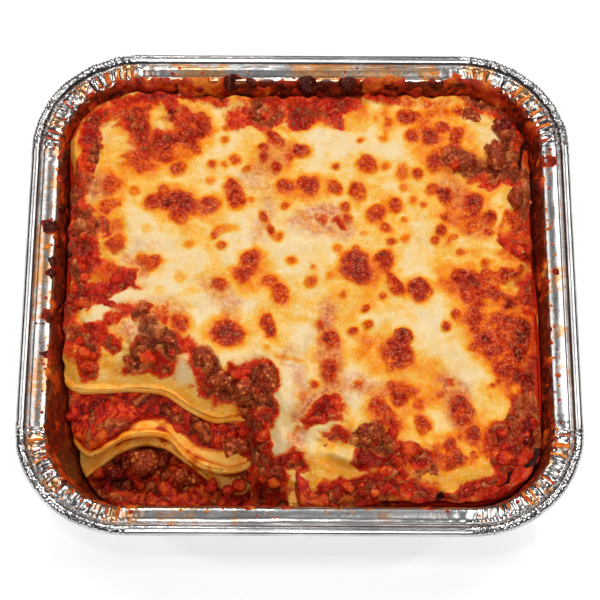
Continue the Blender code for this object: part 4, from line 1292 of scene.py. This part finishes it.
# Lumps on the slumped layers: (x, y in the plane of the marks, height, radius, is mince).
LAYER_LUMPS = (
    (-66, -73, 10, 3.4, 1), (-60, -75, 10, 3.6, 1), (-55, -77, 10, 3.2, 1), (-63, -81, 9.5, 3.2, 1),
    (-57, -83, 9.5, 3.0, 1), (-69, -79, 9.5, 2.8, 1), (-43, -86, 10, 3.4, 1), (-49, -85, 9.5, 2.4, 0),
    (-35, -88, 10, 2.4, 0), (-80, -83, 9, 2.4, 0), (-76, -80, 9, 2.4, 1), (-28, -90, 10, 2.4, 0),
    (-52, -89, 9, 2.2, 0), (-64, -88, 9, 2.4, 0), (-90, -57, 24, 2.8, 0), (-85, -60, 22, 3.2, 0),
    (-79, -62, 21.5, 3.0, 0), (-87, -66, 19, 2.6, 0), (-73, -56, 24, 2.6, 0), (-81, -54, 24, 2.6, 1),
    (-66, -57, 25, 2.2, 1), (-48, -62, 22, 2.4, 0), (-44, -67, 19.5, 2.6, 1), (-38, -66, 19, 2.4, 0),
    (-33, -71, 17, 2.2, 0), (-29, -66, 19.5, 2.4, 0), (-24, -60, 26, 2.6, 0), (-22, -66, 22, 3.0, 0),
    (-18, -63, 24, 2.8, 1), (-21, -72, 18, 3.2, 0), (-16, -70, 21, 3.0, 0), (-19, -78, 15, 3.0, 0),
    (-14, -77, 18, 3.2, 0), (-22, -83, 12, 2.8, 1), (-17, -85, 12, 3.0, 0), (-12, -84, 15, 3.0, 0),
    (-25, -78, 13, 2.4, 0), (-9, -80, 18, 2.6, 0), (-24, -88, 10, 2.6, 0),
)


def make_layer_lumps(name, kind, grain, shaped, look, slot):
    rng = np.random.default_rng(7 + kind)
    ball, faces = sphere_points(4)
    shapes, heights = [], []
    for x, mark_y, z, size, is_mince in LAYER_LUMPS:
        if is_mince != kind:
            continue
        shape, height = shaped(ball, size * rng.uniform(0.85, 1.15, 3) * (1, 1, 0.85), grain, rng)
        shapes.append((shape + (x, mark_y + (MARK_Z - z) * LEAN, z), faces))
        heights.append(height)
    make_bits(name, shapes, heights, look, slot, 0.4)


def scattered(marks, amount, rng):
    """Places all over some bands, more of them where a band is long, wide and strong."""
    spans = np.array([sum(map(dist, points, points[1:])) for points, _, _ in marks])
    halves, strengths = (np.array(values) for values in list(zip(*marks))[1:])
    weights = (spans + 2 * halves) * halves * strengths
    places = []
    for pick in rng.choice(len(marks), amount, p=weights / weights.sum()):
        points, half, _ = marks[pick]
        first = rng.integers(len(points) - 1)
        (x0, y0), (x1, y1) = points[first:first + 2]
        share, aside, turn = rng.random(), 0.75 * half * sqrt(rng.random()), 2 * pi * rng.random()
        places.append((x0 + share * (x1 - x0) + aside * cos(turn),
                       y0 + share * (y1 - y0) + aside * sin(turn)))
    return np.array(places).T


def make_scatter(name, marks, amount, sizes, grain, shaped, look, slot):
    """Small lumps half sunk in the baked top, all over the bands called marks."""
    rng = np.random.default_rng(len(name))
    ball, faces = sphere_points(4 if grain < 1 else 3)
    shapes, heights = [], []
    for x, y, z in zip(*top_point(*scattered(marks, amount, rng))):
        size = rng.uniform(*sizes)
        shape, height = shaped(ball, size * rng.uniform(0.8, 1.2, 3) * (1, 1, 0.7), grain, rng)
        beyond = past_outline(x, y, wall_inset(z - size) + CLEARANCE + size)
        if beyond > 0 or back_from("dressed", x, y) < size + 1.5:
            continue
        shapes.append((shape + (x, y, z - 0.3 * size), faces))
        heights.append(height)
    make_bits(name, shapes, heights, look, slot, 0.7)


# --- what has baked onto the tray ---
CRUST_STEP = 0.8
CRUST_LOW = 30.0
CRUST_OUT = 6.6
CRUST_RINGS = 26
SPATTER_DROPS = 240
CRUST_SUNK = 0.28
CRUST_THINNEST = -0.2
# How thick the crust is on the whole, by the way past the bend between the wall and the flange.
CRUST_PATH = (-12, -4, -1, 0.4, 1.4, CRUST_OUT)
CRUST_BODY = (-0.1, -0.3, -0.5, -0.35, -1.2, -1.7)
# Lumps baked onto the wall and flange: (x, y, height, radius).
BAKED_ON = (
    (-28, 93, 42.5, 4.2), (-21, 92, 41.5, 3.4), (-8, 90, 40.5, 3.6), (3, 91.5, 41.5, 5.2),
    (19, 92, 42, 4.8), (10, 90, 40, 3.6), (56, 91.5, 43, 4.2), (62, 90, 40.5, 3.2), (75, 85, 40, 4.2),
    (-42, 90, 40, 3.2), (-63, 89, 39.5, 3.0), (-101.5, 26, 43, 4.4), (-100.6, 10, 42.8, 3.4),
    (-100, 4, 42.5, 2.6), (-101.5, -4, 43, 2.6), (-102, -15, 43, 4.4), (-101, -31, 43, 2.4),
    (-95, 48, 40, 3.4), (-96, 60, 40, 3.0), (-95.5, 34, 40, 3.6), (-96, 18, 40.5, 3.0), (-95, -8, 40, 3.2),
    (101, 56, 43, 3.6), (101, 36, 43, 2.2), (102, 23, 43.2, 2.8), (102.6, 6, 43.2, 2.4),
    (101, -15, 43, 3.0), (101.4, -20, 43, 4.6), (102.4, -34, 43, 2.6), (95, 30, 40, 3.6),
    (95.5, 20, 40, 3.4), (96, 46, 40, 3.8), (94, 66, 40, 3.0), (90, 76, 40, 3.2), (95.5, -44, 39.5, 3.0),
    (38, -94, 43, 2.0), (40, -97, 43, 1.7), (50, -94, 43, 1.6), (16, -94, 43, 1.6), (-90, -85, 43, 2.2),
    (-83, -89, 42.8, 2.0), (62, -93, 43, 1.4), (-20, -94, 43, 1.5), (-6, -93, 43, 1.8), (5, -93, 43, 1.7),
)


def wall_point(x, y, angle, path):
    """A point of the wall and flange, path millimetres past the bend between them: negative down the wall."""
    z = np.where(path < 0, WALL_HEIGHTS[-1] + path * 0.96, WALL_HEIGHTS[-1] + 0.5 * smooth(path / 2))
    inset = np.where(path < 0, wall_inset(z), WALL_INSETS[-1] - path)
    radius = CORNER_RADIUS - inset
    return np.stack([x + radius * np.cos(angle), y + radius * np.sin(angle), z], -1)


def make_crust(look):
    """The uneven crust baked round the top of the wall. Where it is thin it sinks into the foil."""
    columns, _ = rim_columns(CRUST_STEP, CRUST_STEP)
    x, y, angle = columns.T[:3]
    path = np.linspace(CRUST_LOW - WALL_HEIGHTS[-1], CRUST_OUT, CRUST_RINGS)[:, None]
    flat = wall_point(x, y, angle, path + 0 * x)
    inward = np.stack([-0.96 * np.cos(angle), -0.96 * np.sin(angle), 0.28 + 0 * angle], -1)
    outward = np.where(path[..., None] > 0, (0, 0, 1.0), inward)
    px, py, pz = np.moveaxis(flat, -1, 0)
    bump = np.zeros(px.shape)
    for lump_x, lump_y, lump_z, radius in BAKED_ON:
        far = np.sqrt((px - lump_x) ** 2 + (py - lump_y) ** 2 + (pz - lump_z) ** 2)
        bump = np.maximum(bump, 0.95 * radius * np.clip(1 - (far / radius) ** 2, 0, 1) ** 0.6)
    behind = smooth((py - 60) / 30)
    uneven = rough(px, py, 8.0, 101, pz) + 0.5 * noise(px, py, 3.0, 102, pz)
    uneven = uneven + 0.3 * noise(px, py, 1.5, 103, pz)
    thick = np.interp(path, CRUST_PATH, CRUST_BODY) + uneven * (1 + 0.7 * behind) + 0.5 * behind * (path < 1)
    thick = np.clip(thick + bump * np.clip(0.55 + 0.55 * uneven, 0.1, 1.2), CRUST_THINNEST, 5.0)
    thick[[0, -1]] = CRUST_THINNEST
    grain = 0.22 * noise(px, py, 1.1, 104, pz)
    front = flat + outward * (thick + grain * (thick > 0))[..., None]
    back = flat - outward * CRUST_SUNK
    rings = np.concatenate([front, back[::-1]])
    count = len(x)
    last = (len(rings) - 1) * count
    faces = ring_faces(len(rings), count) + [(last + a, a, b, last + b) for a, b in neighbours(count)]
    # Darker down the wall: partly burnt crust, partly painted shade in the gap beside the food.
    deep = np.interp(path, (-12, -6, -1, 0.5, 2.0), (0.70, 0.54, 0.44, 0.32, 0.18))
    dark = deep + 0.75 * smooth(bump / 2.0) + 0.05 * thick
    dark = dark + 0.42 * rough(px, py, 7.0, 105, pz) + 0.2 * noise(px, py, 2.0, 106, pz)
    make_piece("wall_crust", rings.reshape(-1, 3), faces, look, "meat_sauce",
               dark=np.concatenate([dark, 0 * px]).ravel())


def make_spatter(look):
    """Small baked drops on the flange, most of them near its inner edge."""
    rng = np.random.default_rng(41)
    columns, _ = rim_columns(0.5, 0.5)
    ball, faces = sphere_points(2)
    shapes, dark = [], []
    for _ in range(SPATTER_DROPS):
        x, y, angle = columns[rng.integers(len(columns))][:3]
        path = min(abs(rng.normal(0, 2.2)), 6.0)
        if y < 0 and abs(cos(angle)) < 0.5 and rng.random() < 0.35:
            continue
        radius = rng.uniform(0.25, 0.75) * (1.5 if rng.random() < 0.12 else 1.0)
        place = wall_point(x, y, angle, path) + (0, 0, 0.15)
        shape = ball * rng.uniform(0.8, 1.25, 3) * radius * (1, 1, 0.5)
        wave = 1 + 0.25 * noise(shape[:, 0], shape[:, 1], radius, 42, shape[:, 2] + place[0])
        shapes.append((shape * wave[:, None] + place, faces))
        dark.append(np.full(len(ball), rng.uniform(-0.2, 0.7)))
    make_piece("sauce_spatter", *merged(shapes), look, "meat_sauce", dark=np.concatenate(dark))


# --- studio ---
CAMERA_ELEVATION = 64.91
CAMERA_ROLL = 0.23
CAMERA_DISTANCE, CAMERA_AIM_Y = 4.206, -0.0354      # in rim widths
CAMERA_LENS = 140.3
RIM_METRES = RIM_X * MM
FLOOR_REACH = 6.0
POINT_LIKE = (0.065, 0.065)
WORLD_LOW, WORLD_HIGH = 0.22, 0.38
# Softboxes and small lamps, all aimed at the food: (name, place in metres, size in metres, watts).
LAMPS = (
    ("softbox_left", (-0.90, 0.75, 1.70), (0.84, 1.2), 6.8),
    ("softbox_right", (0.86, 0.75, 1.70), (0.96, 1.4), 12.0),
    ("softbox_front", (0.0, -1.8, 1.9), (1.6, 0.8), 27.0),
    ("key", (-0.45, 1.6, 1.6), (0.3, 0.3), 5.0),
    ("lamp_back_right", (0.60, 1.40, 1.40), POINT_LIKE, 6.0),
    ("lamp_left", (-1.35, -0.2, 1.35), POINT_LIKE, 4.2),
    ("lamp_right", (1.35, -0.15, 1.40), POINT_LIKE, 3.4),
    ("lamp_top", (-0.15, -0.40, 2.0), (0.07, 0.07), 3.4),
    ("lamp_back", (-0.35, 1.9, 1.5), POINT_LIKE, 8.0),
)


def make_floor():
    mesh = bpy.data.meshes.new("studio_floor")
    corners = ((-1, -1), (1, -1), (1, 1), (-1, 1))
    mesh.from_pydata([(x * FLOOR_REACH, y * FLOOR_REACH, 0) for x, y in corners], [], [(0, 1, 2, 3)])
    mesh.materials.append(floor_look())
    floor = placed("studio_floor", mesh)
    floor.location.z = cad_box[0].z - 0.0002


def make_camera(aim):
    camera = bpy.data.cameras.new("camera")
    camera.sensor_width = 36.0
    camera.lens = CAMERA_LENS
    camera.clip_start = 0.05
    holder = placed("camera", camera)
    lift = radians(CAMERA_ELEVATION)
    back = Vector((0, -cos(lift), sin(lift)))
    holder.location = aim + back * CAMERA_DISTANCE * RIM_METRES
    facing = (-back).to_track_quat("-Z", "Y").to_matrix().to_4x4()
    holder.rotation_euler = (facing @ Matrix.Rotation(radians(CAMERA_ROLL), 4, "Z")).to_euler()
    bpy.context.scene.camera = holder


def make_world():
    """A plain white world, brighter from above."""
    world = bpy.data.worlds.new("studio")
    world.use_nodes = True
    nodes, links = world.node_tree.nodes, world.node_tree.links
    direction = nodes.new("ShaderNodeTexCoord")
    split = nodes.new("ShaderNodeSeparateXYZ")
    links.new(direction.outputs["Generated"], split.inputs[0])
    fade = nodes.new("ShaderNodeMapRange")
    fade.inputs["To Min"].default_value = WORLD_LOW
    fade.inputs["To Max"].default_value = WORLD_HIGH
    links.new(split.outputs["Z"], fade.inputs["Value"])
    links.new(fade.outputs[0], nodes["Background"].inputs["Strength"])
    bpy.context.scene.world = world


def make_studio():
    make_floor()
    aim = Vector((0, CAMERA_AIM_Y * RIM_METRES, RIM_Z * MM))
    make_camera(aim)
    make_world()
    for name, place, size, watts in LAMPS:
        lamp = bpy.data.lights.new(name, "AREA")
        lamp.shape = "RECTANGLE"
        lamp.size, lamp.size_y = size
        lamp.energy = watts
        holder = placed(name, lamp)
        holder.location = place
        holder.rotation_euler = (Vector(place) - aim).to_track_quat("Z", "Y").to_euler()
    bpy.context.scene.view_settings.view_transform = "Standard"


make_studio()
make_tray(foil_look())
make_top(baked_look())
pasta = pasta_look()
red_sauce = sauce_look()
make_sheet("top", "dressed", pasta, 1.6)
make_sheet("middle", "sauce_upper", pasta, 1.0)
make_sheet("lower", "sauce_lower", pasta, 0.6)
make_sauce("meat_sauce_upper", "sauce_upper", "top", "middle", red_sauce)
make_sauce("meat_sauce_lower", "sauce_lower", "middle", "lower", red_sauce)
make_base_sauce(red_sauce)
minced = mince_look()
make_lumps(minced, red_sauce)
wide_sauce = [mark for mark in SAUCE if mark[1] > 3.4]
make_scatter("mince_crumbs", MEAT, 100, (1.6, 3.0), 0.85, grainy_lump, minced, "minced_meat")
make_scatter("tomato_bits", wide_sauce, 110, (1.8, 3.3), 3.0, smooth_lump, red_sauce, "tomato")
make_layer_lumps("mince_on_layers", 1, 0.9, grainy_lump, minced, "minced_meat")
make_layer_lumps("tomato_on_layers", 0, 3.0, smooth_lump, red_sauce, "tomato")
crust = crust_look()
make_crust(crust)
make_spatter(crust)
